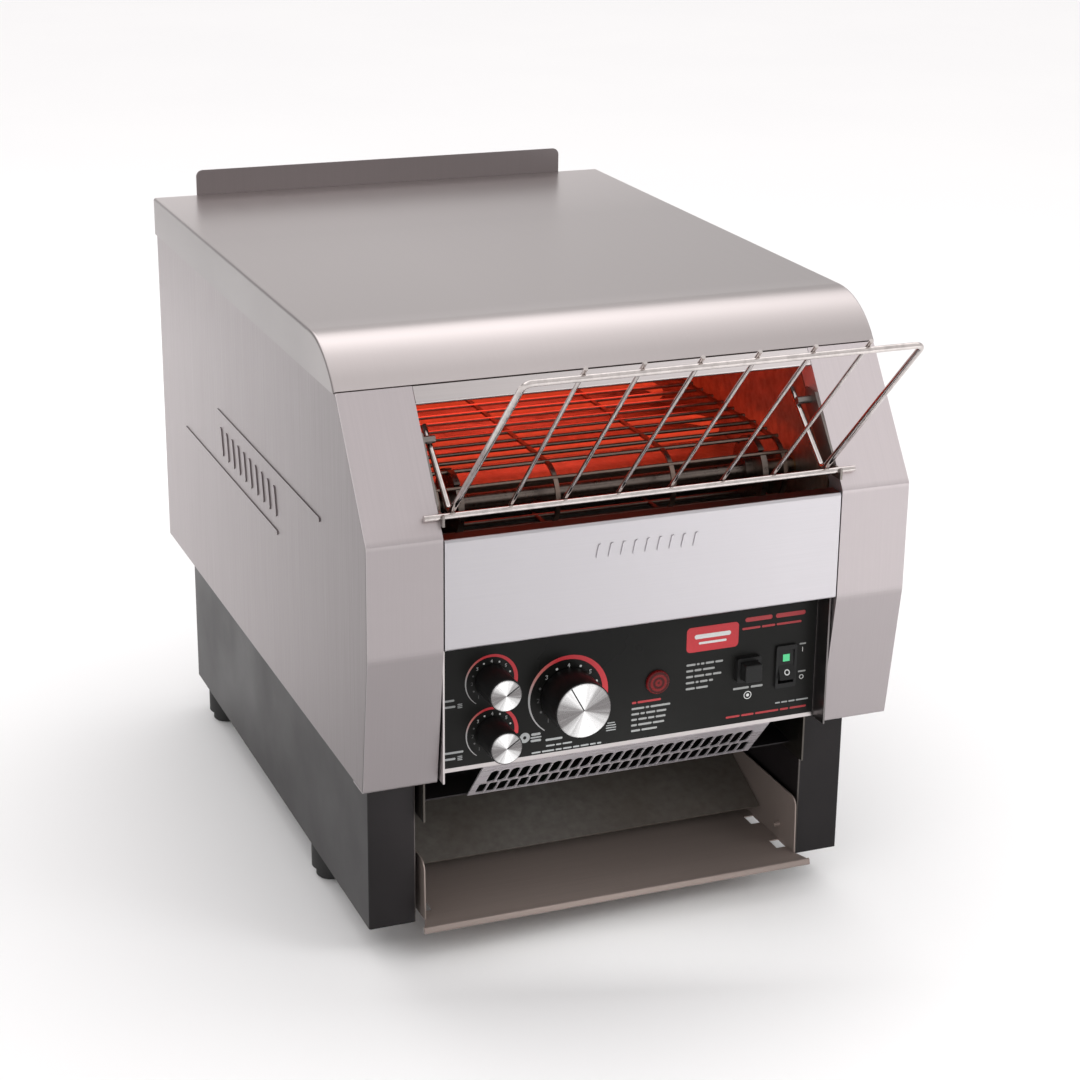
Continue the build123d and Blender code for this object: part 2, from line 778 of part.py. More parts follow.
# The front shaft carries the driven chain sprocket in the right-hand compartment.
chain_gap_radius = 2.6
chain_tip = 1.0
chain_disc = 2.4
chain_phase = math.degrees(chain_angle) + 90
disc_sink = 0.5
with BuildPart() as front_shaft:
    with BuildSketch(side_plane(-shaft_end_x)):
        with Locations(in_row([front_centre])):
            Circle(shaft_radius)
    extrude(amount=shaft_end_x + chain_x + 6)
    extrude(
        sprocket_outline(
            front_centre, chain_radius, chain_teeth, chain_gap_radius, chain_tip,
            shaft_radius - disc_sink, chain_phase, chain_x - chain_disc / 2,
        ),
        amount=chain_disc,
    )
save(front_shaft, "front_shaft")

motor_shaft_radius = 4.0
motor_shaft_low_x = 124.0
with BuildPart() as motor_shaft:
    with BuildSketch(side_plane(motor_shaft_low_x)):
        with Locations(in_row([motor_centre])):
            Circle(motor_shaft_radius)
    extrude(amount=chain_x + 5 - motor_shaft_low_x)
    extrude(
        sprocket_outline(
            motor_centre, chain_radius, chain_teeth, chain_gap_radius, chain_tip,
            motor_shaft_radius - disc_sink, chain_phase, chain_x - chain_disc / 2,
        ),
        amount=chain_disc,
    )
save(motor_shaft, "motor_shaft")

chain_length = chain_straight_pitches * chain_pitch
chain_roller_places = loop_points(
    front_centre, chain_angle, chain_straight_pitches, chain_pitch, chain_radius, chain_teeth
)
chain_half_width = 3.4
chain_plate = 0.8
chain_plate_height = 5.6
chain_roller_radius = 2.1
with BuildPart() as drive_chain:
    for plate_x in (chain_x - chain_half_width, chain_x + chain_half_width - chain_plate):
        extrude(
            loop_band(
                front_centre, chain_angle, chain_length, chain_radius, chain_plate_height, plate_x
            ),
            amount=chain_plate,
        )
    with BuildSketch(side_plane(chain_x - chain_half_width)):
        with Locations(in_row(chain_roller_places)):
            Circle(chain_roller_radius)
    extrude(amount=2 * chain_half_width)
save(drive_chain, "drive_chain")

bearing_flange_radius = 13.0
bearing_flange = 4.0
with BuildPart() as shaft_bearings:
    for flange_low_x, body_low_x in (
        (wall_x + sheet, wall_x),
        (-wall_x - sheet - bearing_flange, -wall_x - sheet - bearing_flange),
    ):
        for low_x, outer_radius, length in (
            (body_low_x, bearing_radius, sheet + bearing_flange),
            (flange_low_x, bearing_flange_radius, bearing_flange),
        ):
            with BuildSketch(side_plane(low_x)):
                with Locations(in_row(shaft_centres)):
                    Circle(outer_radius)
                    Circle(shaft_radius + running_clearance, mode=Mode.SUBTRACT)
            extrude(amount=length)
save(shaft_bearings, "shaft_bearings")

# ---------------------------------------------------------------- drive and electrics
gearbox_low_x = 109.0
gearbox_size = (56.0, 66.0)
gearbox_corner = 6.0
gearbox_rise = 8.0
motor_can_low_x = 60.0
motor_can_radius = 26.0
motor_can_rise = 14.0
with BuildPart() as gear_motor:
    with BuildSketch(side_plane(gearbox_low_x)):
        with Locations(in_row([(motor_centre[0], motor_centre[1] + gearbox_rise)])):
            RectangleRounded(*gearbox_size, gearbox_corner)
    extrude(amount=wall_x - 0.6 - gearbox_low_x)
    with BuildSketch(side_plane(motor_can_low_x)):
        with Locations(in_row([(motor_centre[0], motor_centre[1] + motor_can_rise)])):
            Circle(motor_can_radius)
    extrude(amount=gearbox_low_x - motor_can_low_x)
    with BuildSketch(side_plane(motor_shaft_low_x - 1)):
        with Locations(in_row([motor_centre])):
            Circle(motor_shaft_radius + running_clearance)
    extrude(amount=wall_x - motor_shaft_low_x + 1, mode=Mode.SUBTRACT)
save(gear_motor, "gear_motor")

# Cooling fan on the left wall: a square frame with three spokes, and a rotor with seven blades.
fan_low_x = -wall_x + 0.2
fan_size = 60.0
fan_corner = 4.0
fan_depth = 25.0
fan_throat_radius = 28.0
fan_boss_radius = 11.0
fan_spoke = (19.0, 3.0)
fan_spoke_middle = 19.5
fan_spoke_thickness = 2.0
fan_pin_radius = 1.5
with BuildPart() as fan_frame:
    with BuildSketch(side_plane(fan_low_x)):
        with Locations(in_row([fan_centre])):
            RectangleRounded(fan_size, fan_size, fan_corner)
            Circle(fan_throat_radius, mode=Mode.SUBTRACT)
    extrude(amount=fan_depth)
    with BuildSketch(side_plane(fan_low_x)):
        with Locations(in_row([fan_centre])):
            Circle(fan_boss_radius)
            Circle(fan_pin_radius + running_clearance, mode=Mode.SUBTRACT)
            with PolarLocations(fan_spoke_middle, 3, start_angle=30):
                Rectangle(*fan_spoke)
    extrude(amount=fan_spoke_thickness)
save(fan_frame, "fan_frame")

rotor_hub_radius = 12.0
rotor_hub_length = 18.0
blade_count = 7
blade_size = (15.0, 1.4, 17.0)
blade_middle = 18.2
blade_pitch_angle = 38.0
with BuildPart(side_plane(fan_low_x + fan_spoke_thickness + 0.5)) as fan_rotor:
    with Locations(in_row([fan_centre])):
        Cylinder(rotor_hub_radius, rotor_hub_length, align=(Align.CENTER, Align.CENTER, Align.MIN))
        with PolarLocations(blade_middle, blade_count):
            with Locations((0, 0, rotor_hub_length / 2)):
                Box(*blade_size, rotation=(blade_pitch_angle, 0, 0))
    with BuildSketch(side_plane(fan_low_x + 0.2)):
        with Locations(in_row([fan_centre])):
            Circle(fan_pin_radius)
    extrude(amount=6)
save(fan_rotor, "fan_rotor")

panel_back_depth = panel_depth + sheet
heat_switch_size = 34.0
heat_switch_corner = 2.0
heat_switch_depth = 38.0
speed_switch_radius = 12.0
speed_switch_depth = 20.0
spindle_radius = 3.0
spindle_socket = 14.0
with BuildPart() as dial_switches:
    with BuildSketch(front_plane(panel_back_depth + heat_switch_depth)):
        with Locations(top_heat_centre, bottom_heat_centre):
            RectangleRounded(heat_switch_size, heat_switch_size, heat_switch_corner)
    extrude(amount=heat_switch_depth)
    with BuildSketch(front_plane(panel_back_depth + speed_switch_depth)):
        with Locations(speed_centre):
            Circle(speed_switch_radius)
    extrude(amount=speed_switch_depth)
    with BuildSketch(front_plane(panel_back_depth + spindle_socket)):
        with Locations(knob_centres):
            Circle(spindle_radius + running_clearance)
    extrude(amount=spindle_socket, mode=Mode.SUBTRACT)
save(dial_switches, "dial_switches")

overlay_face_depth = panel_depth - overlay_thickness
housing_back_depth = 45.0
rocker_bezel = (15.0, 29.8)
rocker_bezel_corner = 1.5
rocker_bezel_height = 2.0
rocker_body = (13.4, 27.4)
rocker_window = (11.4, 23.4)
rocker_window_depth = 24.0
rocker_width = 11.0
pin_length = 13.0
pin_radius = 1.5
rocker_pivot = (24.0, rocker_centre[1])
with BuildPart() as rocker_housing:
    with BuildSketch(front_plane(overlay_face_depth)):
        with Locations(rocker_centre):
            RectangleRounded(*rocker_bezel, rocker_bezel_corner)
    extrude(amount=rocker_bezel_height)
    with BuildSketch(front_plane(housing_back_depth)):
        with Locations(rocker_centre):
            Rectangle(*rocker_body)
    extrude(amount=housing_back_depth - overlay_face_depth)
    with BuildSketch(front_plane(overlay_face_depth - rocker_bezel_height)):
        with Locations(rocker_centre):
            Rectangle(*rocker_window)
    extrude(amount=-rocker_window_depth, mode=Mode.SUBTRACT)
    with BuildSketch(side_plane(rocker_centre[0] - pin_length / 2 - 0.5)):
        with Locations(in_row([rocker_pivot])):
            Circle(pin_radius + running_clearance)
    extrude(amount=pin_length + 1, mode=Mode.SUBTRACT)
save(rocker_housing, "rocker_housing")

# Rocker in its "on" position: tipped so that the upper half is pressed in.
rocker_tip = math.radians(-12)
rocker_profile = [(-7.5, 10.0), (-6.0, 0), (-7.5, -10.0), (0, -9.5), (4, -5), (4, 5), (0, 9.5)]
tipped_profile = [
    (
        rocker_pivot[0] + back * math.cos(rocker_tip) - up * math.sin(rocker_tip),
        rocker_pivot[1] + back * math.sin(rocker_tip) + up * math.cos(rocker_tip),
    )
    for back, up in rocker_profile
]
with BuildPart() as power_rocker:
    extrude(
        side_outline(tipped_profile, rocker_centre[0] - rocker_width / 2), amount=rocker_width
    )
    with BuildSketch(side_plane(rocker_centre[0] - pin_length / 2)):
        with Locations(in_row([rocker_pivot])):
            Circle(pin_radius)
    extrude(amount=pin_length)
save(power_rocker, "power_rocker")

# Push button: a frame that stands up from the panel, and a square cap that slides in it.
button_frame = 17.0
button_frame_corner = 1.2
button_frame_height = 4.0
button_body = 14.0
button_bore = 12.4
button_cap = 12.0
button_face_depth = 8.4
button_rear_depth = 32.0
button_floor_depth = 36.0
button_back_depth = 40.0
with BuildPart() as button_housing:
    with BuildSketch(front_plane(overlay_face_depth)):
        with Locations(button_centre):
            RectangleRounded(button_frame, button_frame, button_frame_corner)
    extrude(amount=button_frame_height)
    with BuildSketch(front_plane(button_back_depth)):
        with Locations(button_centre):
            Rectangle(button_body, button_body)
    extrude(amount=button_back_depth - overlay_face_depth)
    with BuildSketch(front_plane(button_floor_depth)):
        with Locations(button_centre):
            Rectangle(button_bore, button_bore)
    extrude(amount=button_floor_depth - button_face_depth, mode=Mode.SUBTRACT)
save(button_housing, "button_housing")

with BuildPart() as power_save_button:
    with BuildSketch(front_plane(button_rear_depth)):
        with Locations(button_centre):
            RectangleRounded(button_cap, button_cap, 1.0)
    extrude(amount=button_rear_depth - button_face_depth)
    fillet(power_save_button.faces().sort_by(Axis.Y)[0].edges(), radius=0.8)
save(power_save_button, "power_save_button")

lens_radius = 8.0
lens_height = 2.6
lens_edge = 1.4
lamp_body_radius = lamp_hole_radius - 0.1
lamp_back_depth = 36.0
with BuildPart() as indicator_lamp:
    with BuildSketch(front_plane(overlay_face_depth)):
        with Locations(lamp_centre):
            Circle(lens_radius)
    extrude(amount=lens_height)
    fillet(indicator_lamp.faces().sort_by(Axis.Y)[0].edges(), radius=lens_edge)
    with BuildSketch(front_plane(lamp_back_depth)):
        with Locations(lamp_centre):
            Circle(lamp_body_radius)
    extrude(amount=lamp_back_depth - overlay_face_depth)
save(indicator_lamp, "indicator_lamp")

# Control board: relays in a row, three round capacitors, and four stand-off posts to the box.
board_centre = (-20.0, 208.0)
board_size = (90.0, 60.0)
board_thickness = 1.6
board_back_depth = 160.0
board_face_depth = board_back_depth - board_thickness
relay_size = (16.0, 12.0)
relay_height = 14.0
relay_pitch = 22.0
capacitor_places = [(-44.0, 196.0), (-20.0, 194.0), (6.0, 198.0)]
capacitor_radius = 5.0
capacitor_height = 12.0
post_radius = 2.5
post_length = 5.0
with BuildPart() as control_board:
    with BuildSketch(front_plane(board_back_depth)):
        with Locations(board_centre):
            Rectangle(*board_size)
    extrude(amount=board_thickness)
    with BuildSketch(front_plane(board_face_depth)):
        with Locations((board_centre[0] - 6, board_centre[1] + 14)):
            with GridLocations(relay_pitch, 1, 3, 1):
                Rectangle(*relay_size)
    extrude(amount=relay_height)
    with BuildSketch(front_plane(board_face_depth)):
        with Locations(capacitor_places):
            Circle(capacitor_radius)
    extrude(amount=capacitor_height)
    with BuildSketch(front_plane(board_back_depth + post_length)):
        with Locations(board_centre):
            with GridLocations(board_size[0] - 10, board_size[1] - 10, 2, 2):
                Circle(post_radius)
    extrude(amount=post_length)
save(control_board, "control_board")

block_centre = (330.0, 215.0)
block_size = (80.0, 26.0)
block_height = 16.0
terminal_radius = 3.0
terminal_height = 3.0
terminal_pitch = (15.0, 13.0)
with BuildPart() as terminal_block:
    with BuildSketch(side_plane(-wall_x - sheet - block_height)):
        with Locations(in_row([block_centre])):
            Rectangle(*block_size)
    extrude(amount=block_height)
    with BuildSketch(side_plane(-wall_x - sheet - block_height - terminal_height)):
        with Locations(in_row([block_centre])):
            with GridLocations(*terminal_pitch, 5, 2):
                Circle(terminal_radius)
    extrude(amount=terminal_height)
save(terminal_block, "terminal_block")

# Cord gland: a hexagon flange and a domed nut outside, a threaded neck and a hexagon nut inside.
gland_bore = 4.8
gland_hex_radius = 12.5
gland_hex_height = 4.0
gland_dome_radius = 9.8
gland_dome_round = 3.0
gland_neck_length = 9.0
gland_nut_radius = 12.0
gland_nut_height = 4.5
gland_place = (gland_x, gland_z)
with BuildPart() as cord_gland:
    with BuildSketch(front_plane(rear_face_depth)):
        with Locations(gland_place):
            RegularPolygon(gland_hex_radius, 6)
    extrude(amount=-gland_hex_height)
    with BuildSketch(front_plane(rear_face_depth + gland_hex_height)):
        with Locations(gland_place):
            Circle(gland_dome_radius)
    extrude(amount=-(gland_reach + sheet - gland_hex_height))
    fillet(cord_gland.faces().sort_by(Axis.Y)[-1].edges(), radius=gland_dome_round)
    with BuildSketch(front_plane(rear_face_depth)):
        with Locations(gland_place):
            Circle(gland_thread_radius)
    extrude(amount=gland_neck_length)
    with BuildSketch(front_plane(rear_face_depth - sheet)):
        with Locations(gland_place):
            RegularPolygon(gland_nut_radius, 6)
    extrude(amount=gland_nut_height)
    with BuildSketch(front_plane(rear_face_depth - gland_neck_length)):
        with Locations(gland_place):
            Circle(gland_bore)
    extrude(amount=-(gland_neck_length + gland_reach + sheet), mode=Mode.SUBTRACT)
save(cord_gland, "cord_gland")

# ---------------------------------------------------------------- knobs
knob_base_depth = overlay_face_depth - 0.8
cap_thickness = 1.2
cap_margin = 0.9
groove_width = 0.9
groove_depth = 0.5
knob_taper = 0.6
knob_wall = 2.5
knob_boss_radius = 6.5
knob_hollow = 8.0
knob_bore = 20.0
for knob_name, centre, knob_radius, pointer_angle in (
    ("top_heat", top_heat_centre, small_knob_radius, 34),
    ("bottom_heat", bottom_heat_centre, small_knob_radius, 34),
    ("speed", speed_centre, large_knob_radius, 119),
):
    body_face_depth = knob_face_depth + cap_thickness
    cap_radius = knob_radius - cap_margin
    with BuildPart() as knob:
        with BuildSketch(front_plane(knob_base_depth)):
            with Locations(centre):
                Circle(knob_radius)
        extrude(amount=knob_base_depth - body_face_depth, taper=knob_taper)
        with BuildSketch(front_plane(knob_base_depth)):
            with Locations(centre):
                Circle(knob_radius - knob_wall)
                Circle(knob_boss_radius, mode=Mode.SUBTRACT)
        extrude(amount=knob_hollow, mode=Mode.SUBTRACT)
        with BuildSketch(front_plane(knob_base_depth)):
            with Locations(centre):
                Circle(spindle_radius + running_clearance)
        extrude(amount=knob_bore, mode=Mode.SUBTRACT)
    save(knob, f"{knob_name}_knob")

    with BuildPart() as cap:
        with BuildSketch(front_plane(body_face_depth)):
            with Locations(centre):
                Circle(cap_radius)
        extrude(amount=cap_thickness)
        chamfer(cap.faces().sort_by(Axis.Y)[0].edges(), length=0.5)
        with BuildSketch(front_plane(knob_face_depth)):
            with Locations(Location((centre[0], centre[1]), pointer_angle)):
                with Locations((cap_radius / 2, 0)):
                    Rectangle(cap_radius, groove_width)
        extrude(amount=-groove_depth, mode=Mode.SUBTRACT)
    save(cap, f"{knob_name}_knob_cap")

    spindle_back_depth = panel_back_depth + spindle_socket - 1
    with BuildPart() as spindle:
        with BuildSketch(front_plane(spindle_back_depth)):
            with Locations(centre):
                Circle(spindle_radius)
        extrude(amount=spindle_back_depth - knob_base_depth + knob_bore - 1)
    save(spindle, f"{knob_name}_spindle")

# ---------------------------------------------------------------- feed rack
with BuildPart() as feed_rack_frame:
    with BuildLine() as frame_path:
        FilletPolyline(
            (-rack_half_width, y_at(rear_arm_end[0]), rear_arm_end[1]),
            (-rack_half_width, y_at(rack_vertex[0]), rack_vertex[1]),
            (-rack_top_half_width, y_at(top_bar[0]), top_bar[1]),
            (rack_top_half_width, y_at(top_bar[0]), top_bar[1]),
            (rack_half_width, y_at(rack_vertex[0]), rack_vertex[1]),
            (rack_half_width, y_at(rear_arm_end[0]), rear_arm_end[1]),
            radius=rack_bend_radius,
        )
    with BuildSketch(Plane(origin=frame_path.line @ 0, z_dir=frame_path.line % 0)):
        Circle(frame_radius)
    sweep()
    with BuildSketch(side_plane(-rod_half_length)):
        with Locations(in_row([(rod_depth, rod_z)])):
            Circle(rod_radius)
    extrude(amount=2 * rod_half_length)
save(feed_rack_frame, "feed_rack_frame")

# Cross wires lie on the inner side of the base rod and the top bar, and are welded to both.
wire_offset = rod_radius + cross_wire_radius - weld_sink
wire_gap = 2 * rack_top_half_width / (cross_wire_count + 1)
wire_foot = (
    rod_depth + wire_offset * lean_normal[0] - 2.0 * lean_along[0],
    rod_z + wire_offset * lean_normal[1] - 2.0 * lean_along[1],
)
wire_tip = (
    top_bar[0] + wire_offset * lean_normal[0] + cross_wire_tip * lean_along[0],
    top_bar[1] + wire_offset * lean_normal[1] + cross_wire_tip * lean_along[1],
)
wire_direction = (0, wire_tip[0] - wire_foot[0], wire_tip[1] - wire_foot[1])
with BuildPart() as feed_rack_wires:
    for index in range(cross_wire_count):
        wire_x = (index + 1) * wire_gap - rack_top_half_width
        foot_point = (wire_x, y_at(wire_foot[0]), wire_foot[1])
        with BuildSketch(Plane(origin=foot_point, z_dir=wire_direction)):
            Circle(cross_wire_radius)
        extrude(amount=math.dist(wire_foot, wire_tip))
save(feed_rack_wires, "feed_rack_wires")

# Rack brackets: an open notch for the rod and a stop pin above each rear arm of the frame.
stop_depth = 50.0
stop_angle = math.atan2(rear_arm_end[1] - rack_vertex[1], rear_arm_end[0] - rack_vertex[0])
stop_pin_radius = 2.5
stop_pin_length = 11.0
stop_reach = frame_radius + stop_pin_radius + 0.15
stop_pin = (
    stop_depth - stop_reach * math.sin(stop_angle),
    rack_vertex[1]
    + (stop_depth - rack_vertex[0]) * math.tan(stop_angle)
    + stop_reach * math.cos(stop_angle),
)
bracket_sheet = 1.5
bracket_outer_x = opening_half_width
bracket_line = [
    (1.4, 311.2),
    (20.0, 311.2),
    (54.0, 349.0),
    (54.0, 358.5),
    (41.0, 358.5),
    (12.5, 323.0),
    (12.5, 318.4),
    (1.4, 318.4),
]
notch_radius = rod_radius + running_clearance
notch_height = 8.0
with BuildPart() as rack_brackets:
    for plate_low_x, pin_low_x in (
        (bracket_outer_x - bracket_sheet, bracket_outer_x - stop_pin_length),
        (-bracket_outer_x, -bracket_outer_x),
    ):
        extrude(side_outline(bracket_line, plate_low_x), amount=bracket_sheet)
        with BuildSketch(side_plane(pin_low_x)):
            with Locations(in_row([stop_pin])):
                Circle(stop_pin_radius)
        extrude(amount=stop_pin_length)
        with BuildSketch(side_plane(plate_low_x)):
            with Locations(in_row([(rod_depth, rod_z)])):
                Circle(notch_radius)
            with Locations(in_row([(rod_depth, rod_z + notch_height / 2)])):
                Rectangle(2 * notch_radius, notch_height)
        extrude(amount=bracket_sheet, mode=Mode.SUBTRACT)
save(rack_brackets, "rack_brackets")

# ---------------------------------------------------------------- toast tray
tray_half_width = 134.5
tray_floor_z = 28.8
tray_rear_depth = 180.0
tray_sheet = 0.9
lip_depth = 26.0
lip_half_width = 139.0
tray_wall_top_z = 70.0
tray_wall_bend = 7.0
tray_front_depth = 38.0
tray_wall_line = [
    (tray_rear_depth, tray_floor_z),
    (tray_rear_depth, tray_wall_top_z),
    (tray_front_depth + 1.5, tray_wall_top_z),
    (tray_front_depth, tray_floor_z),
]
tray_slot = (7.4, 12.0)
tray_slot_x = 129.6
tray_slot_depths = (54.5, 94.0)
tray_slot_places = [(side * tray_slot_x, y_at(depth)) for side in (-1, 1) for depth in tray_slot_depths]
lip_roll = (4.6, 3.0)
rivet_place = (61.5, 41.0)
rivet_radius = 1.6
rivet_length = 4.6
with BuildPart() as toast_tray:
    with BuildSketch(Plane.XY.offset(tray_floor_z)):
        with BuildLine():
            Polyline(
                (-tray_half_width, y_at(tray_rear_depth)),
                (-tray_half_width, y_at(tray_front_depth)),
                (-lip_half_width, y_at(lip_depth)),
                (lip_half_width, y_at(lip_depth)),
                (tray_half_width, y_at(tray_front_depth)),
                (tray_half_width, y_at(tray_rear_depth)),
                close=True,
            )
        make_face()
        with Locations(tray_slot_places):
            Rectangle(*tray_slot, mode=Mode.SUBTRACT)
    extrude(amount=tray_sheet)
    with BuildSketch(side_plane(-lip_half_width)):
        with Locations(in_row([(lip_depth, tray_floor_z - 0.6)])):
            SlotOverall(*lip_roll, rotation=75)
    extrude(amount=2 * lip_half_width)
    for wall_low_x, rivet_low_x in (
        (tray_half_width - tray_sheet, tray_half_width - 0.5 - rivet_length),
        (-tray_half_width, -tray_half_width + 0.5),
    ):
        with BuildSketch(side_plane(wall_low_x)):
            with BuildLine():
                FilletPolyline(*in_row(tray_wall_line), radius=tray_wall_bend)
                Line(*in_row([tray_wall_line[-1], tray_wall_line[0]]))
            make_face()
        extrude(amount=tray_sheet)
        with BuildSketch(side_plane(rivet_low_x)):
            with Locations(in_row([rivet_place])):
                Circle(rivet_radius)
        extrude(amount=rivet_length)
save(toast_tray, "toast_tray")

runner_x = 112.0
runner_depth = 155.0
runner_size = (12.0, 190.0)
runner_height = 2.2
with BuildPart() as tray_runners:
    with BuildSketch(Plane.XY.offset(leg_bottom_z + sheet)):
        with Locations((-runner_x, y_at(runner_depth)), (runner_x, y_at(runner_depth))):
            Rectangle(*runner_size)
    extrude(amount=runner_height)
save(tray_runners, "tray_runners")
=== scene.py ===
import math

import bmesh
import bpy
from mathutils import Matrix, Vector


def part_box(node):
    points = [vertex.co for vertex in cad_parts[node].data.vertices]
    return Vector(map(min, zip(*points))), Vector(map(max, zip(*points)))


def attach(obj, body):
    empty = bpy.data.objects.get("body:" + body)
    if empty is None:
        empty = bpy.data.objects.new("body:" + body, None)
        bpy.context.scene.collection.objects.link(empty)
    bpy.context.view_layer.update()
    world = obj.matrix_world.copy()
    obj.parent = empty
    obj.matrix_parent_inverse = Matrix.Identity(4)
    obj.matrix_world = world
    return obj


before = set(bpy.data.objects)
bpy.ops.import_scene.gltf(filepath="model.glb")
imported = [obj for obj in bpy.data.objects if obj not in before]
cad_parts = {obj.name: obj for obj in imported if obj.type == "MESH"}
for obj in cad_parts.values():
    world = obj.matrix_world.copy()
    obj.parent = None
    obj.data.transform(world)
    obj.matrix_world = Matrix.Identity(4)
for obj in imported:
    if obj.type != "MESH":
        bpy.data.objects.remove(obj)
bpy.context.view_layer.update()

MM = 0.001
FRONT_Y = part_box("right_front_column")[0].y
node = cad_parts
SMALL_DIALS = ((-96.0, 199.4), (-95.5, 163.8))
LARGE_DIAL = (-44.0, 181.7)


def at(x, depth, z):
    """A point given in millimetres, with its depth behind the upright front face."""
    return Vector((x * MM, FRONT_Y + depth * MM, z * MM))


# ---------------------------------------------------------------- camera
CAMERA_PLACE = at(-581.2, -1267.6, 786.5)
CAMERA_FORWARD = Vector((0.3506, 0.8735, -0.3378)).normalized()
CAMERA_ROLL = math.radians(0.67)
CAMERA_LENS = 79.78

level_right = CAMERA_FORWARD.cross(Vector((0, 0, 1))).normalized()
level_up = level_right.cross(CAMERA_FORWARD)
camera_right = math.cos(CAMERA_ROLL) * level_right + math.sin(CAMERA_ROLL) * level_up
camera_up = math.cos(CAMERA_ROLL) * level_up - math.sin(CAMERA_ROLL) * level_right
camera_data = bpy.data.cameras.new("camera")
camera_data.lens = CAMERA_LENS
camera_data.sensor_width = 36
camera_data.clip_end = 60
camera = bpy.data.objects.new("camera", camera_data)
turn = Matrix((camera_right, camera_up, -CAMERA_FORWARD)).transposed().to_4x4()
camera.matrix_world = Matrix.Translation(CAMERA_PLACE) @ turn
bpy.context.scene.collection.objects.link(camera)
bpy.context.scene.camera = camera


# ---------------------------------------------------------------- materials
class Finish:
    """A material and the few node steps that the finishes below share."""

    def __init__(self, name, **sockets):
        self.material = bpy.data.materials.new(name)
        self.material.use_nodes = True
        self.tree = self.material.node_tree
        self.shader = self.tree.nodes["Principled BSDF"]
        for socket, value in sockets.items():
            self.shader.inputs[socket.replace("_", " ")].default_value = value
        self.place = self.tree.nodes.new("ShaderNodeTexCoord").outputs["Object"]

    def node(self, kind, **settings):
        made = self.tree.nodes.new(kind)
        for key, value in settings.items():
            setattr(made, key, value)
        return made

    def join(self, output, target):
        self.tree.links.new(output, target)

    def scaled(self, scale):
        step = self.node("ShaderNodeMapping")
        step.inputs["Scale"].default_value = scale
        self.join(self.place, step.inputs["Vector"])
        return step.outputs["Vector"]

    def around(self, angle):
        """A vector that changes with an angle only, so that a noise of it makes spokes."""
        step = self.node("ShaderNodeCombineXYZ")
        for index, operation in enumerate(("COSINE", "SINE")):
            part = self.node("ShaderNodeMath", operation=operation)
            self.join(angle, part.inputs[0])
            self.join(part.outputs["Value"], step.inputs[index])
        return step.outputs["Vector"]

    def noise(self, scale, detail=3.0, vector=None):
        step = self.node("ShaderNodeTexNoise")
        step.inputs["Scale"].default_value = scale
        step.inputs["Detail"].default_value = detail
        self.join(vector or self.place, step.inputs["Vector"])
        return step.outputs["Fac"]

    def ramp(self, value, low, high, start=0.35, end=0.65):
        step = self.node("ShaderNodeValToRGB")
        elements = step.color_ramp.elements
        for element, place, colour in ((elements[0], start, low), (elements[1], end, high)):
            element.position = place
            element.color = colour if len(colour) == 4 else (*colour, 1)
        self.join(value, step.inputs["Fac"])
        return step.outputs["Color"]

    def span(self, value, low, high):
        step = self.node("ShaderNodeMapRange")
        step.inputs["From Min"].default_value = 0.3
        step.inputs["From Max"].default_value = 0.7
        step.inputs["To Min"].default_value = low
        step.inputs["To Max"].default_value = high
        self.join(value, step.inputs["Value"])
        return step.outputs["Result"]

    def mix(self, factor, first, second):
        step = self.node("ShaderNodeMix", data_type="RGBA")
        for socket, value in ((0, factor), (6, first), (7, second)):
            if isinstance(value, bpy.types.NodeSocket):
                self.join(value, step.inputs[socket])
            elif socket == 0:
                step.inputs[socket].default_value = value
            else:
                step.inputs[socket].default_value = (*value, 1)
        return step.outputs[2]

    def from_centre(self, centre):
        """The vector to a point from a centre (x, z) that is given in millimetres."""
        shift = self.node("ShaderNodeVectorMath", operation="SUBTRACT")
        shift.inputs[1].default_value = at(centre[0], 0, centre[1])
        self.join(self.place, shift.inputs[0])
        return shift.outputs["Vector"]

    def offsets(self, centre):
        """How far a point lies across and up from a centre (x, z) that is given in millimetres."""
        split = self.node("ShaderNodeSeparateXYZ")
        self.join(self.from_centre(centre), split.inputs["Vector"])
        return split.outputs["X"], split.outputs["Z"]

    def turned(self, sine, cosine):
        """The angle that has this sine and cosine."""
        step = self.node("ShaderNodeMath", operation="ARCTAN2")
        self.join(sine, step.inputs[0])
        self.join(cosine, step.inputs[1])
        return step.outputs["Value"]

    def past(self, axis, limit, blend, before=0.0, after=1.0):
        """One value before a limit along an axis, in metres, and another past it, with a soft change."""
        split = self.node("ShaderNodeSeparateXYZ")
        self.join(self.place, split.inputs["Vector"])
        step = self.node("ShaderNodeMapRange")
        step.inputs["From Min"].default_value = limit - blend
        step.inputs["From Max"].default_value = limit + blend
        step.inputs["To Min"].default_value = before
        step.inputs["To Max"].default_value = after
        self.join(split.outputs[axis], step.inputs["Value"])
        return step.outputs["Result"]

    def scaled_colour(self, colour, factor):
        step = self.node("ShaderNodeVectorMath", operation="SCALE")
        self.join(colour, step.inputs[0])
        self.join(factor, step.inputs["Scale"])
        return step.outputs["Vector"]

    def colour(self, output):
        self.join(output, self.shader.inputs["Base Color"])

    def roughness(self, output):
        self.join(output, self.shader.inputs["Roughness"])

    def bump(self, height, distance, strength=1.0):
        step = self.node("ShaderNodeBump")
        step.inputs["Distance"].default_value = distance
        step.inputs["Strength"].default_value = strength
        self.join(height, step.inputs["Height"])
        if self.shader.inputs["Normal"].links:
            self.join(self.shader.inputs["Normal"].links[0].from_socket, step.inputs["Normal"])
        self.join(step.outputs["Normal"], self.shader.inputs["Normal"])


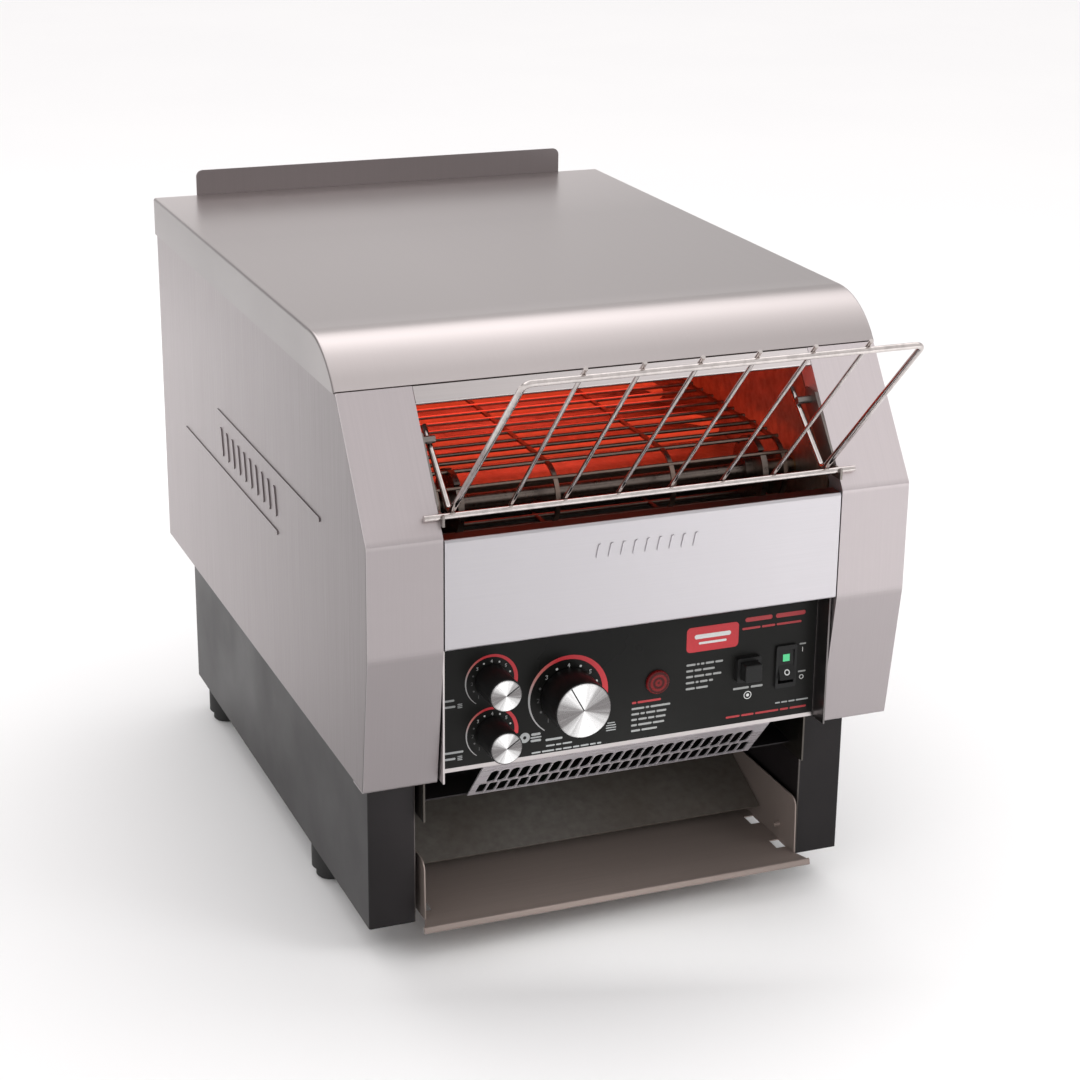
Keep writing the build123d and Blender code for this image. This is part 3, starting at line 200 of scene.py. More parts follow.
def brushed(
    name, colour, grain, roughness=0.34, spread=0.04, dark=0.95, bump=0.00001, metallic=1.0, tones=()
):
    """Brushed sheet: fine lines, soft patches, and tones.

    A tone is (axis, limit, blend, factor before, factor past) and multiplies the colour. The tones copy
    the light of the one photograph, so they stay on the part under any other light.
    """
    finish = Finish(name, Metallic=metallic)
    lines = finish.noise(1.0, 2.0, finish.scaled(grain))
    patches = finish.noise(7.0, 2.0)
    low = tuple(channel * dark for channel in colour)
    lined = finish.ramp(lines, low, colour, 0.3, 0.7)
    sheet = finish.mix(finish.span(patches, 0.0, 0.35), lined, low)
    for axis, limit, blend, before, after in tones:
        sheet = finish.scaled_colour(sheet, finish.past(axis, limit, blend, before, after))
    finish.colour(sheet)
    finish.roughness(finish.span(lines, roughness - spread, roughness + spread))
    finish.bump(lines, bump, 0.35)
    finish.bump(finish.noise(3.2, 1.0), 0.0006, 0.25)
    return finish.material


FINE = 1100.0
COARSE = 14.0
FINE_ACROSS = (FINE, COARSE, COARSE)
FINE_LENGTHWISE = (COARSE, FINE, COARSE)
FINE_UPWARDS = (COARSE, COARSE, FINE)
# Painted light and shade: the stainless sheets are one steel, given lighter and darker colours part by part;
# the sides, columns and rear sheet are darker, the discharge guard lighter.
STEEL = (0.60, 0.56, 0.555)
COVER_STEEL = (0.55, 0.505, 0.50)
SIDE_STEEL = (0.218, 0.194, 0.197)
COVER_FLANGE = 0.1832
FACET_LOW = 0.2315
FACET_HIGH = 0.3045
FOLD = 0.0004
UPSTAND_FOOT = 0.380
COVER_TOP = 0.411
FRONT_SKIN = at(0, 1.6, 0).y
CONTROL_EDGE = 0.1312

# Painted light and shade: the front bend lighter, the top lighter towards the rear and darker to the right,
# and both side flanges darker.
steel_cover = brushed(
    "steel_cover", COVER_STEEL, FINE_ACROSS, 0.29, 0.012, 0.985, 0.000003,
    tones=(
        ("Y", -0.11, 0.02, 1.10, 0.92), ("Y", 0.05, 0.15, 1.0, 1.06), ("Y", 0.24, 0.09, 1.0, 1.3),
        ("X", 0.07, 0.13, 1.0, 0.82),
        ("X", -COVER_FLANGE, FOLD, 0.43, 1.0), ("X", COVER_FLANGE, FOLD, 1.0, 0.55),
    ),
)
# Painted light: lighter to the right.
steel_trim = brushed("steel_trim", STEEL, FINE_UPWARDS, tones=(("X", 0.0, 0.15, 0.95, 1.4),))
# Painted light and shade: lighter towards the rear and a little darker towards the top.
steel_side = brushed(
    "steel_side", SIDE_STEEL, FINE_LENGTHWISE,
    tones=(("Y", 0.0, 0.28, 0.86, 1.52), ("Z", 0.27, 0.12, 1.08, 0.94)),
)
# Painted light and shade: each facet has its own shade, the lower facet darkest and the upper facet lightest,
# and the right column is lighter than the left.
steel_column = brushed(
    "steel_column", (0.315, 0.287, 0.292), FINE_ACROSS, metallic=0.88,
    tones=(
        ("Z", FACET_LOW, 0.003, 1.0, 1.24), ("Z", FACET_HIGH, 0.003, 1.0, 1.44), ("X", 0.0, 0.1, 1.0, 1.25),
    ),
)
# Painted shade: near-black behind the upright front skin, on the folded-back top flange; painted light:
# lighter to the right.
steel_bright = brushed(
    "steel_front_panel", (0.50, 0.485, 0.505), FINE_UPWARDS, 0.36,
    tones=(("Y", FRONT_SKIN, FOLD, 1.0, 0.04), ("X", -0.02, 0.12, 1.0, 1.2)),
)
# Painted shade: darker past the overlay's right edge, on the panel's edge strip and side return.
steel_control = brushed(
    "steel_control_panel", STEEL, FINE_UPWARDS, tones=(("X", CONTROL_EDGE, FOLD, 1.0, 0.3),)
)
# The rear sheet is lighter below the upstand and changes softly up to the cover's top. No photo shows it.
# Painted shade: the dark colour that the upstand keeps above the cover.
steel_rear = brushed(
    "steel_rear", (0.26, 0.233, 0.233), FINE_ACROSS, 0.36,
    tones=(("Z", (UPSTAND_FOOT + COVER_TOP) / 2, (COVER_TOP - UPSTAND_FOOT) / 2, 1.4, 1.0),),
)
steel_tray = brushed("steel_tray", (0.30, 0.245, 0.22), FINE_LENGTHWISE, 0.44, 0.06, 0.85, metallic=0.5)
steel_guard = brushed("steel_guard", (0.74, 0.70, 0.74), FINE_UPWARDS, 0.3, metallic=0.8)
steel_bracket = brushed("steel_bracket", (0.26, 0.235, 0.22), FINE_UPWARDS, 0.4)


# Painted shade: the cavity walls are near-black below this height.
SHADE_HEIGHT = 0.262


def heated(name, cool, warm, roughness, shade_below=None, metallic=1.0):
    """Aluminised sheet that has been through many hot cycles: straw and brown clouds."""
    finish = Finish(name, Metallic=metallic)
    clouds = finish.noise(9.0, 5.0)
    flecks = finish.noise(160.0, 3.0)
    tinted = finish.ramp(clouds, cool, warm, 0.35, 0.68)
    flecked = finish.mix(finish.span(flecks, 0.0, 0.45), tinted, tuple(c * 0.6 for c in warm))
    # Painted shade: below a height the sheet takes the near-black shade colour.
    finish.colour(finish.mix(finish.past("Z", SHADE_HEIGHT, 0.012), shade_below or flecked, flecked))
    finish.roughness(finish.span(flecks, roughness - 0.08, roughness + 0.14))
    finish.bump(flecks, 0.0001, 0.4)
    return finish.material


liner = heated("aluminised_liner", (0.60, 0.57, 0.53), (0.42, 0.30, 0.20), 0.38, shade_below=(0.11, 0.10, 0.09))
# Painted shade: the chute and cavity floor get a near-black steel for the shade inside the base.
chute_metal = heated("chute_steel", (0.15, 0.14, 0.128), (0.10, 0.085, 0.072), 0.46, metallic=0.3)


def coated(name, colour, roughness, grain_scale=900.0, bump=0.00006, worn=None, **sockets):
    """Paint or moulded plastic: a fine pebble, slow tone changes and rubbed places."""
    finish = Finish(name, **sockets)
    pebble = finish.noise(grain_scale, 2.0)
    tone = finish.noise(11.0, 4.0)
    lighter = worn or tuple(min(1, channel * 1.45 + 0.004) for channel in colour)
    finish.colour(finish.ramp(tone, colour, lighter, 0.35, 0.8))
    finish.roughness(finish.span(tone, roughness - 0.05, roughness + 0.09))
    finish.bump(pebble, bump, 0.5)
    return finish.material


ENAMEL = (0.0075, 0.006, 0.0065)
WORN_ENAMEL = (0.015, 0.0127, 0.0134)
CORNER_HIGHLIGHT = (0.10, 0.09, 0.085)
LEG_INNER = 138.0
LEG_FRONT = 45.0
CORNER_WIDTH = 0.9
CORNER_BLEND = 0.0003

enamel = coated("black_enamel", ENAMEL, 0.34, 700.0, 0.00006, Specular_IOR_Level=0.22)


def highlighted_corner(name, side):
    """Enamel with a painted highlight: a pale line down the corner between a leg's front and its inner wall.
    """
    finish = Finish(name, Specular_IOR_Level=0.22)
    pebble = finish.noise(700.0, 2.0)
    tone = finish.noise(11.0, 4.0)
    film = finish.ramp(tone, ENAMEL, WORN_ENAMEL, 0.35, 0.8)
    inner = side * (LEG_INNER + CORNER_WIDTH) * MM
    before, after = (1.0, 0.0) if side > 0 else (0.0, 1.0)
    near_inner = finish.past("X", inner, CORNER_BLEND, before, after)
    near_front = finish.past("Y", at(0, LEG_FRONT + CORNER_WIDTH, 0).y, CORNER_BLEND, 1.0, 0.0)
    corner = finish.node("ShaderNodeMath", operation="MULTIPLY")
    finish.join(near_inner, corner.inputs[0])
    finish.join(near_front, corner.inputs[1])
    finish.colour(finish.mix(corner.outputs["Value"], film, CORNER_HIGHLIGHT))
    finish.roughness(finish.span(tone, 0.29, 0.43))
    finish.bump(pebble, 0.00006, 0.5)
    return finish.material


overlay = coated("overlay_film", (0.0055, 0.0055, 0.005), 0.3, 1500.0, 0.00002, Specular_IOR_Level=0.14)
black_plastic = coated("black_plastic", (0.0075, 0.0075, 0.0075), 0.36, 1100.0, Specular_IOR_Level=0.22)
rubber = coated("rubber_feet", (0.018, 0.018, 0.018), 0.72, 500.0, 0.0001)
motor_paint = coated("motor_paint", (0.09, 0.09, 0.10), 0.45, 800.0)
board = coated("board_lacquer", (0.03, 0.16, 0.07), 0.35, 300.0, 0.00004)
cream = coated("cream_plastic", (0.70, 0.66, 0.54), 0.42, 900.0)
ceramic = coated("glazed_ceramic", (0.80, 0.77, 0.70), 0.25, 600.0, 0.00003)


def plain_metal(name, colour, roughness, scale=350.0, bump=0.00003):
    finish = Finish(name, Metallic=1.0)
    pits = finish.noise(scale, 4.0)
    low = tuple(channel * 0.82 for channel in colour)
    finish.colour(finish.ramp(pits, low, colour, 0.35, 0.6))
    finish.roughness(finish.span(pits, roughness - 0.04, roughness + 0.08))
    finish.bump(pits, bump, 0.4)
    return finish.material


chrome = plain_metal("chromed_wire", (0.66, 0.61, 0.59), 0.06, 220.0, 0.000004)
hot_steel = plain_metal("oven_shaft_steel", (0.20, 0.165, 0.145), 0.3)
zinc = plain_metal("zinc_plate", (0.56, 0.57, 0.56), 0.34)
bronze = plain_metal("sintered_bronze", (0.50, 0.34, 0.17), 0.42, 900.0)
belt_metal = plain_metal("belt_wire", (0.24, 0.18, 0.15), 0.33)


COOL_END = -0.137
GLOW_START = -0.095


def glowing(name, strength):
    """Heater sheath: scaled metal that glows evenly, apart from its cool left end."""
    finish = Finish(name, Metallic=0.3)
    scale = finish.noise(240.0, 4.0)
    finish.colour(finish.ramp(scale, (0.05, 0.02, 0.015), (0.20, 0.05, 0.03), 0.35, 0.65))
    finish.roughness(finish.span(scale, 0.5, 0.75))
    split = finish.node("ShaderNodeSeparateXYZ")
    finish.join(finish.place, split.inputs["Vector"])
    heat = finish.node("ShaderNodeMapRange", interpolation_type="SMOOTHSTEP")
    heat.inputs["From Min"].default_value = COOL_END
    heat.inputs["From Max"].default_value = GLOW_START
    heat.inputs["To Min"].default_value = 0.0
    heat.inputs["To Max"].default_value = strength
    finish.join(split.outputs["X"], heat.inputs["Value"])
    finish.join(heat.outputs["Result"], finish.shader.inputs["Emission Strength"])
    finish.shader.inputs["Emission Color"].default_value = (1.0, 0.085, 0.03, 1)
    finish.bump(scale, 0.0002, 0.5)
    return finish.material


upper_glow = glowing("heater_sheath_upper", 1.15)
lower_glow = glowing("heater_sheath_lower", 0.45)


SHINE_ANGLE = math.radians(102)


def spun(name, centre):
    """Turned aluminium disc. Its bow-tie shine is painted in, so it turns with the knob."""
    finish = Finish(name, Metallic=0.75, Anisotropic=0.8)
    tangent = finish.node("ShaderNodeTangent", direction_type="RADIAL", axis="Y")
    finish.join(tangent.outputs["Tangent"], finish.shader.inputs["Tangent"])
    across, up = finish.offsets(centre)
    angle = finish.turned(up, across)
    double = finish.node("ShaderNodeMath", operation="MULTIPLY_ADD")
    double.inputs[1].default_value = 2.0
    double.inputs[2].default_value = -2.0 * SHINE_ANGLE
    finish.join(angle, double.inputs[0])
    wave = finish.node("ShaderNodeMath", operation="COSINE")
    finish.join(double.outputs["Value"], wave.inputs[0])
    streak = finish.noise(4.0, 3.0, finish.around(angle))
    sum_up = finish.node("ShaderNodeMath", operation="MULTIPLY_ADD")
    sum_up.inputs[1].default_value = 0.42
    finish.join(wave.outputs["Value"], sum_up.inputs[0])
    finish.join(streak, sum_up.inputs[2])
    finish.colour(finish.ramp(sum_up.outputs["Value"], (0.20, 0.19, 0.19), (1.0, 1.0, 1.0), 0.12, 0.92))
    finish.roughness(finish.span(finish.noise(1800.0, 2.0), 0.24, 0.34))
    return finish.material


LAMP = (17.7, 182.0)
LAMP_RINGS = 96.0


def lens_red():
    """Dark red lamp lens with moulded rings."""
    finish = Finish("lamp_lens", IOR=1.49, Specular_IOR_Level=0.25)
    rings = finish.node("ShaderNodeTexWave", wave_type="RINGS", rings_direction="Y")
    rings.inputs["Scale"].default_value = LAMP_RINGS
    finish.join(finish.from_centre(LAMP), rings.inputs["Vector"])
    finish.colour(finish.ramp(rings.outputs["Fac"], (0.035, 0.002, 0.002), (0.15, 0.007, 0.008), 0.1, 0.9))
    finish.roughness(finish.span(finish.noise(500.0), 0.2, 0.3))
    finish.bump(rings.outputs["Fac"], 0.0003, 0.5)
    return finish.material


lens = lens_red()


def ink(name, colour, **sockets):
    """Screen-printed ink, a little uneven in tone, on the film."""
    finish = Finish(name, **sockets)
    grain = finish.noise(2600.0, 2.0)
    low = tuple(channel * 0.8 for channel in colour)
    finish.colour(finish.ramp(grain, low, colour, 0.3, 0.6))
    finish.roughness(finish.span(grain, 0.35, 0.5))
    return finish.material


white_ink = ink("ink_white", (0.60, 0.61, 0.60))
text_ink = ink("ink_text", (0.27, 0.275, 0.27))
grey_ink = ink("ink_grey", (0.30, 0.31, 0.31))
faint_ink = ink("ink_faint", (0.085, 0.085, 0.085))
red_ink = ink("ink_red", (0.46, 0.018, 0.026))
dull_red_ink = ink("ink_dull_red", (0.34, 0.02, 0.025))
black_paint = ink("pointer_paint", (0.012, 0.012, 0.012))


ARC_FADE = ((0.33, (0.32, 0.32, 0.32)), (0.44, (0.44, 0.15, 0.13)), (0.56, (0.50, 0.018, 0.028)))
ARC_FADE_RANGE = (math.radians(-180), math.radians(110))


def arc_ink(name, centre):
    """Ink that fades round a dial, from grey at its low end through salmon to red."""
    finish = Finish(name)
    across, up = finish.offsets(centre)
    angle = finish.turned(across, up)
    fade = finish.node("ShaderNodeValToRGB")
    stops = fade.color_ramp.elements
    stops.new(0.5)
    for stop, (place, colour) in zip(stops, ARC_FADE):
        stop.position = place
        stop.color = (*colour, 1)
    spread = finish.node("ShaderNodeMapRange")
    spread.inputs["From Min"].default_value = ARC_FADE_RANGE[0]
    spread.inputs["From Max"].default_value = ARC_FADE_RANGE[1]
    finish.join(angle, spread.inputs["Value"])
    finish.join(spread.outputs["Result"], fade.inputs["Fac"])
    finish.colour(fade.outputs["Color"])
    finish.roughness(finish.span(finish.noise(2600.0, 2.0), 0.35, 0.5))
    return finish.material


green_window = ink(
    "green_window", (0.05, 0.36, 0.16), Emission_Color=(0.08, 0.55, 0.22, 1), Emission_Strength=0.5
)

finishes = {
    steel_cover: ["top_cover"],
    steel_side: ["left_side_panel", "right_side_panel"],
    steel_column: ["left_front_column", "right_front_column"],
    steel_trim: ["hood_trim", "tray_runners"],
    steel_control: ["control_panel"],
    steel_bracket: ["rack_brackets"],
    steel_bright: ["front_panel"],
    steel_rear: ["rear_panel"],
    steel_tray: ["toast_tray"],
    steel_guard: ["discharge_guard"],
    liner: [
        "left_cavity_wall", "right_cavity_wall", "upper_reflector", "lower_reflector",
    ],
    chute_metal: ["toast_chute", "cavity_floor"],
    upper_glow: ["upper_heaters"],
    lower_glow: ["lower_heaters"],
    ceramic: ["heater_bushings"],
    enamel: ["base_floor", "control_box"],
    highlighted_corner("left_leg_enamel", -1): ["left_base_leg"],
    highlighted_corner("right_leg_enamel", 1): ["right_base_leg"],
    overlay: ["control_overlay"],
    black_plastic: [
        "fan_frame", "fan_rotor", "rocker_housing", "button_housing", "power_rocker", "power_save_button",
        "cord_gland", "top_heat_knob", "bottom_heat_knob", "speed_knob",
    ],
    rubber: ["feet"],
    motor_paint: ["gear_motor"],
    board: ["control_board"],
    cream: ["dial_switches", "terminal_block"],
    chrome: ["feed_rack_frame", "feed_rack_wires"],
    zinc: [
        "panel_screws", "drive_chain", "motor_shaft", "top_heat_spindle", "bottom_heat_spindle",
        "speed_spindle",
    ],
    hot_steel: ["front_shaft", "rear_shaft", "front_sprockets", "rear_sprockets"],
    bronze: ["shaft_bearings"],
    belt_metal: ["conveyor_belt"],
    spun("spun_top_heat", SMALL_DIALS[0]): ["top_heat_knob_cap"],
    spun("spun_bottom_heat", SMALL_DIALS[1]): ["bottom_heat_knob_cap"],
    spun("spun_speed", LARGE_DIAL): ["speed_knob_cap"],
    lens: ["indicator_lamp"],
}
for material, names in finishes.items():
    for name in names:
        slots = node[name].data.materials
        slots.clear()
        slots.append(material)


# ---------------------------------------------------------------- printed marks and small details
OVERLAY_DEPTH = 19.6
PRINT_LIFT = 0.06


def add_piece(name, mesh_maker, material, body):
    """A mesh object made by mesh_maker(bm), riding on a CAD body."""
    bm = bmesh.new()
    mesh_maker(bm)
    mesh = bpy.data.meshes.new(name)
    bm.to_mesh(mesh)
    bm.free()
    mesh.materials.append(material)
    piece = bpy.data.objects.new(name, mesh)
    bpy.context.scene.collection.objects.link(piece)
    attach(piece, body)
    return piece


def upright(depth):
    """An upright surface at a depth: (across, up, lift) in millimetres to a point."""
    return lambda across, up, lift: at(across, depth - lift, up)


def facet(low, high):
    """A surface that leans between two (depth, z) edges: up is measured along it from the low edge."""
    length = math.dist(low, high)
    along = ((high[0] - low[0]) / length, (high[1] - low[1]) / length)

    def place(across, up, lift):
        return at(across, low[0] + up * along[0] - lift * along[1], low[1] + up * along[1] + lift * along[0])

    return place


PANEL = upright(OVERLAY_DEPTH)
BADGE_FACE = upright(OVERLAY_DEPTH - PRINT_LIFT)


def flat_shape(bm, outline, surface, thickness=PRINT_LIFT):
    """A thin plate from an outline in millimetres on a surface, its back on the surface."""
    back = [bm.verts.new(surface(x, z, 0)) for x, z in outline]
    face = [bm.verts.new(surface(x, z, thickness)) for x, z in outline]
    count = len(outline)
    faces = [bm.faces.new(face), bm.faces.new(list(reversed(back)))]
    for i in range(count):
        j = (i + 1) % count
        faces.append(bm.faces.new((back[i], back[j], face[j], face[i])))
    bmesh.ops.recalc_face_normals(bm, faces=faces)


def ring_shape(bm, centre, radii, angles, surface, steps=48):
    """An arc band: radii and angles are (inner, outer) at the start and at the end, degrees anticlockwise."""
    (in_0, out_0), (in_1, out_1) = radii
    outer = []
    inner = []
    for i in range(steps + 1):
        t = i / steps
        angle = math.radians(angles[0] + (angles[1] - angles[0]) * t)
        r_in = in_0 + (in_1 - in_0) * t
        r_out = out_0 + (out_1 - out_0) * t
        inner.append((centre[0] + r_in * math.cos(angle), centre[1] + r_in * math.sin(angle)))
        outer.append((centre[0] + r_out * math.cos(angle), centre[1] + r_out * math.sin(angle)))
    for i in range(steps):
        flat_shape(bm, [inner[i], inner[i + 1], outer[i + 1], outer[i]], surface)


def circle_line(bm, centre, inner, outer, surface, steps):
    """A whole ring of even width."""
    ring_shape(bm, centre, ((inner, outer), (inner, outer)), (0, 360), surface, steps)


def disc(bm, centre, radius, surface, steps=20):
    outline = [
        (
            centre[0] + radius * math.cos(2 * math.pi * i / steps),
            centre[1] + radius * math.sin(2 * math.pi * i / steps),
        )
        for i in range(steps)
    ]
    flat_shape(bm, outline, surface)


def bar(bm, left, right, z, height, surface=PANEL):
    """A greeked line of text: a bar with clipped corners."""
    h = height / 2
    c = height * 0.3
    outline = [
        (left + c, z - h), (right - c, z - h), (right, z - h + c), (right, z + h - c),
        (right - c, z + h), (left + c, z + h), (left, z + h - c), (left, z - h + c),
    ]
    flat_shape(bm, outline, surface)


def words(bm, left, z, widths, height, gap=0.9):
    """A greeked line: one plain bar for each word."""
    for width in widths:
        bar(bm, left, left + width, z, height)
        left += width + gap


SEGMENTS = {
    "1": [((0, -1), (0, 1))],
    "2": [((-0.5, 1), (0.5, 1)), ((0.5, 1), (0.5, 0)), ((0.5, 0), (-0.5, -1)), ((-0.5, -1), (0.5, -1))],
    "3": [((-0.5, 1), (0.5, 1)), ((0.5, 1), (0, 0.1)), ((0, 0.1), (0.5, -0.4)), ((0.5, -0.4), (-0.1, -1)),
          ((-0.1, -1), (-0.5, -0.8))],
    "4": [((0.3, -1), (0.3, 1)), ((0.3, 1), (-0.6, -0.3)), ((-0.6, -0.3), (0.6, -0.3))],
    "5": [((0.5, 1), (-0.4, 1)), ((-0.4, 1), (-0.4, 0.1)), ((-0.4, 0.1), (0.3, 0.1)),
          ((0.3, 0.1), (0.5, -0.5)), ((0.5, -0.5), (0, -1)), ((0, -1), (-0.5, -0.8))],
}


def stroke(bm, start, end, width, surface):
    (x0, z0), (x1, z1) = start, end
    length = math.hypot(x1 - x0, z1 - z0)
    ux, uz = (x1 - x0) / length * width / 2, (z1 - z0) / length * width / 2
    flat_shape(
        bm,
        [(x0 - ux - uz, z0 - uz + ux), (x0 - ux + uz, z0 - uz - ux),
         (x1 + ux + uz, z1 + uz - ux), (x1 + ux - uz, z1 + uz + ux)],
        surface,
    )


def digit(bm, sign, centre, size):
    for start, end in SEGMENTS[sign]:
        stroke(
            bm,
            (centre[0] + start[0] * size * 0.5, centre[1] + start[1] * size * 0.5),
            (centre[0] + end[0] * size * 0.5, centre[1] + end[1] * size * 0.5),
            size * 0.17,
            PANEL,
        )


# Angles round a dial, in degrees anticlockwise from the right.
DIAL_STEP = 23.2
DIAL_FIRST = 229.0
FAINT_SIGNS = 4
ARC_START = 234.0
ARC_END = -10.0
DIALS = (
    ("top_heat", SMALL_DIALS[0], 17.7), ("bottom_heat", SMALL_DIALS[1], 17.7), ("speed", LARGE_DIAL, 27.4),
)


def dial_arc(bm, centre, radius):
    """The arc round a dial, thin at its low end and wide at its high end."""
    wide = radius * 0.15
    thin = radius * 0.02
    ring_shape(
        bm, centre, ((radius - thin, radius), (radius - wide, radius)), (ARC_START, ARC_END), PANEL, 72
    )


def dial_signs(bm, faint):
    """The numbers 1 to 5 round each dial, with a dot after each: the first few are faint."""
    for centre, radius, size in (
        (SMALL_DIALS[0], 13.1, 1.9), (SMALL_DIALS[1], 13.1, 1.9), (LARGE_DIAL, 20.6, 2.5),
    ):
        for index in range(10):
            angle = math.radians(DIAL_FIRST - index * DIAL_STEP)
            place = (centre[0] + radius * math.cos(angle), centre[1] + radius * math.sin(angle))
            if (index < FAINT_SIGNS) != faint:
                continue
            if index % 2:
                disc(bm, place, size * 0.33, PANEL, steps=12)
            else:
                digit(bm, str(index // 2 + 1), place, size)


BUTTON_SIGN = (83.2, 162.8)
ON_SIGN = ((122.2, 188.4), (122.2, 191.2))
OFF_SIGN = (122.3, 170.2)


def white_print(bm):
    """The later dial signs, the mark beside the button, and the on and off signs."""
    dial_signs(bm, faint=False)
    circle_line(bm, BUTTON_SIGN, 2.3, 2.8, PANEL, 28)
    disc(bm, BUTTON_SIGN, 1.1, PANEL)
    stroke(bm, ON_SIGN[0], ON_SIGN[1], 0.42, PANEL)
    circle_line(bm, OFF_SIGN, 1.15, 1.6, PANEL, 24)


def faint_print(bm):
    """The first dial signs."""
    dial_signs(bm, faint=True)


# Plain bars stand for the lines of print: each row gives the widths of its bars in millimetres.
UPPER_ROWS = (
    (6.5, 2.0, 2.5, 6.0, 5.5), (5.0, 5.0, 8.5), (5.0, 7.0, 4.5, 6.0), (6.0, 2.2, 5.5, 3.0), (6.5, 8.5),
)
LOWER_ROWS = (
    (9.0, 2.5, 14.0), (5.5, 3.0, 6.5, 7.0), (4.0, 6.0, 4.5, 7.0), (4.0, 9.5, 8.0), (6.5, 11.0),
)


def text_print(bm):
    """Pale bars: a block beside the lamp, a block under it, and the labels of the button and rocker."""
    for row, widths in enumerate(UPPER_ROWS):
        words(bm, 38.2, 190.0 - 4.15 * row, widths, 1.45)
    for row, widths in enumerate(LOWER_ROWS):
        words(bm, 0.2, 165.2 - 3.85 * row, widths, 1.4)
    words(bm, 72.4, 168.4, (11.5, 8.6), 1.5, 1.4)
    bar(bm, 119.8, 124.6, 193.8, 1.1)
    bar(bm, 119.6, 125.2, 174.2, 1.1)


def grey_print(bm):
    """Grey bars and small signs beside and below the dials, and a row under the rocker."""
    for centre, widths in ((SMALL_DIALS[0], (7.5, 8.2)), (SMALL_DIALS[1], (13.5, 8.2))):
        for row, width in enumerate(widths):
            bar(bm, -128.2, -128.2 + width, centre[1] - 9.8 - 4.2 * row, 1.4)
        for line in range(3):
            bar(bm, -118.6, -115.4, centre[1] - 15.2 + 1.15 * line, 0.6)
    words(bm, -59.2, 152.9, (11.6,), 1.5)
    words(bm, -58.8, 148.7, (6.0, 3.6, 6.5), 1.1)
    words(bm, -68.6, 145.2, (6.2, 8.4, 4.2, 6.0, 4.4, 5.6, 4.0, 3.0), 1.1)
    words(bm, 103.8, 153.9, (3.6, 4.4, 4.6, 9.0), 1.0)
    circle_line(bm, (-73.4, 156.7), 1.2, 3.5, PANEL, 32)
    for line, (half, height) in enumerate(((3.2, 1.7), (3.8, 1.0), (3.6, 1.6))):
        bar(bm, -65.8 - half, -65.8 + half, 158.1 - 2.2 * line, height)
    for line, (half, height) in enumerate(((2.6, 0.7), (3.4, 0.7), (3.6, 0.7), (3.4, 0.7))):
        bar(bm, -13.9 - half, -13.9 + half, 158.0 - 1.7 * line, height)


# The centres of the badge's corners, with the angle at which each corner starts.
BADGE_CORNERS = ((72.0, 213.0, 0), (40.6, 213.0, 90), (40.6, 201.4, 180), (72.0, 201.4, 270))
BADGE_RADIUS = 2.8


def red_print(bm):
    """The plain rounded badge."""
    outline = []
    for corner_x, corner_z, first in BADGE_CORNERS:
        for i in range(6):
            angle = math.radians(first + 18 * i)
            across = corner_x + BADGE_RADIUS * math.cos(angle)
            up = corner_z + BADGE_RADIUS * math.sin(angle)
            outline.append((across, up))
    flat_shape(bm, outline, PANEL)


def dull_red_print(bm):
    """The line along the panel's top edge, and dull red bars."""
    bar(bm, -131.0, 30.0, 229.4, 0.5)
    words(bm, 79.4, 216.0, (19.5, 21.5), 3.0, 2.6)
    words(bm, 77.4, 210.0, (13.0, 9.5, 18.0), 1.5, 1.2)
    words(bm, 68.0, 148.8, (10.0, 9.0, 17.0, 6.0, 12.0), 1.4, 1.2)
    words(bm, 0.4, 169.4, (3.0, 16.5), 1.5)


def badge_bars(bm):
    """Two plain bars on the badge."""
    bar(bm, 43.4, 69.2, 209.0, 3.0, BADGE_FACE)
    bar(bm, 46.4, 66.2, 204.4, 1.6, BADGE_FACE)


for name, maker, printed in (
    ("panel_print_white", white_print, white_ink),
    ("panel_print_faint", faint_print, faint_ink),
    ("panel_print_text", text_print, text_ink),
    ("panel_print_grey", grey_print, grey_ink),
    ("panel_print_red", red_print, red_ink),
    ("panel_print_dull_red", dull_red_print, dull_red_ink),
    ("badge_bars", badge_bars, white_ink),
):
    add_piece(name, maker, printed, "chassis")

for name, centre, radius in DIALS:
    add_piece(
        f"{name}_arc", lambda bm: dial_arc(bm, centre, radius), arc_ink(f"ink_{name}_arc", centre),
        "chassis",
    )

# A painted pointer lies in the groove of each knob cap, at the angle where the knob rests.
CAP_FACE = upright(-6.7)
POINTERS = (
    ("top_heat", SMALL_DIALS[0], 10.1, 34),
    ("bottom_heat", SMALL_DIALS[1], 10.1, 34),
    ("speed", LARGE_DIAL, 18.1, 119),
)
for name, centre, radius, angle in POINTERS:
    way = (math.cos(math.radians(angle)), math.sin(math.radians(angle)))

    def pointer(bm):
        start = (centre[0] + 0.3 * way[0], centre[1] + 0.3 * way[1])
        end = (centre[0] + (radius - 0.6) * way[0], centre[1] + (radius - 0.6) * way[1])
        stroke(bm, start, end, 0.86, CAP_FACE)

    add_piece(f"{name}_pointer", pointer, black_paint, f"{name}_knob")

# The rocker is tipped to "on": a lit window on its upper half and a ring on its lower half.
ROCKER_X = 109.8
ROCKER_FACE = ((14.58, 171.68), (18.13, 181.15), (18.74, 191.24))
rocker_low = facet(ROCKER_FACE[0], ROCKER_FACE[1])
rocker_high = facet(ROCKER_FACE[1], ROCKER_FACE[2])


def rocker_window(bm):
    outline = [(ROCKER_X - 2.4, 2.4), (ROCKER_X + 2.4, 2.4), (ROCKER_X + 2.4, 7.2), (ROCKER_X - 2.4, 7.2)]
    flat_shape(bm, outline, rocker_high, 0.25)


def rocker_ring(bm):
    circle_line(bm, (ROCKER_X, 4.9), 1.3, 2.0, rocker_low, 28)


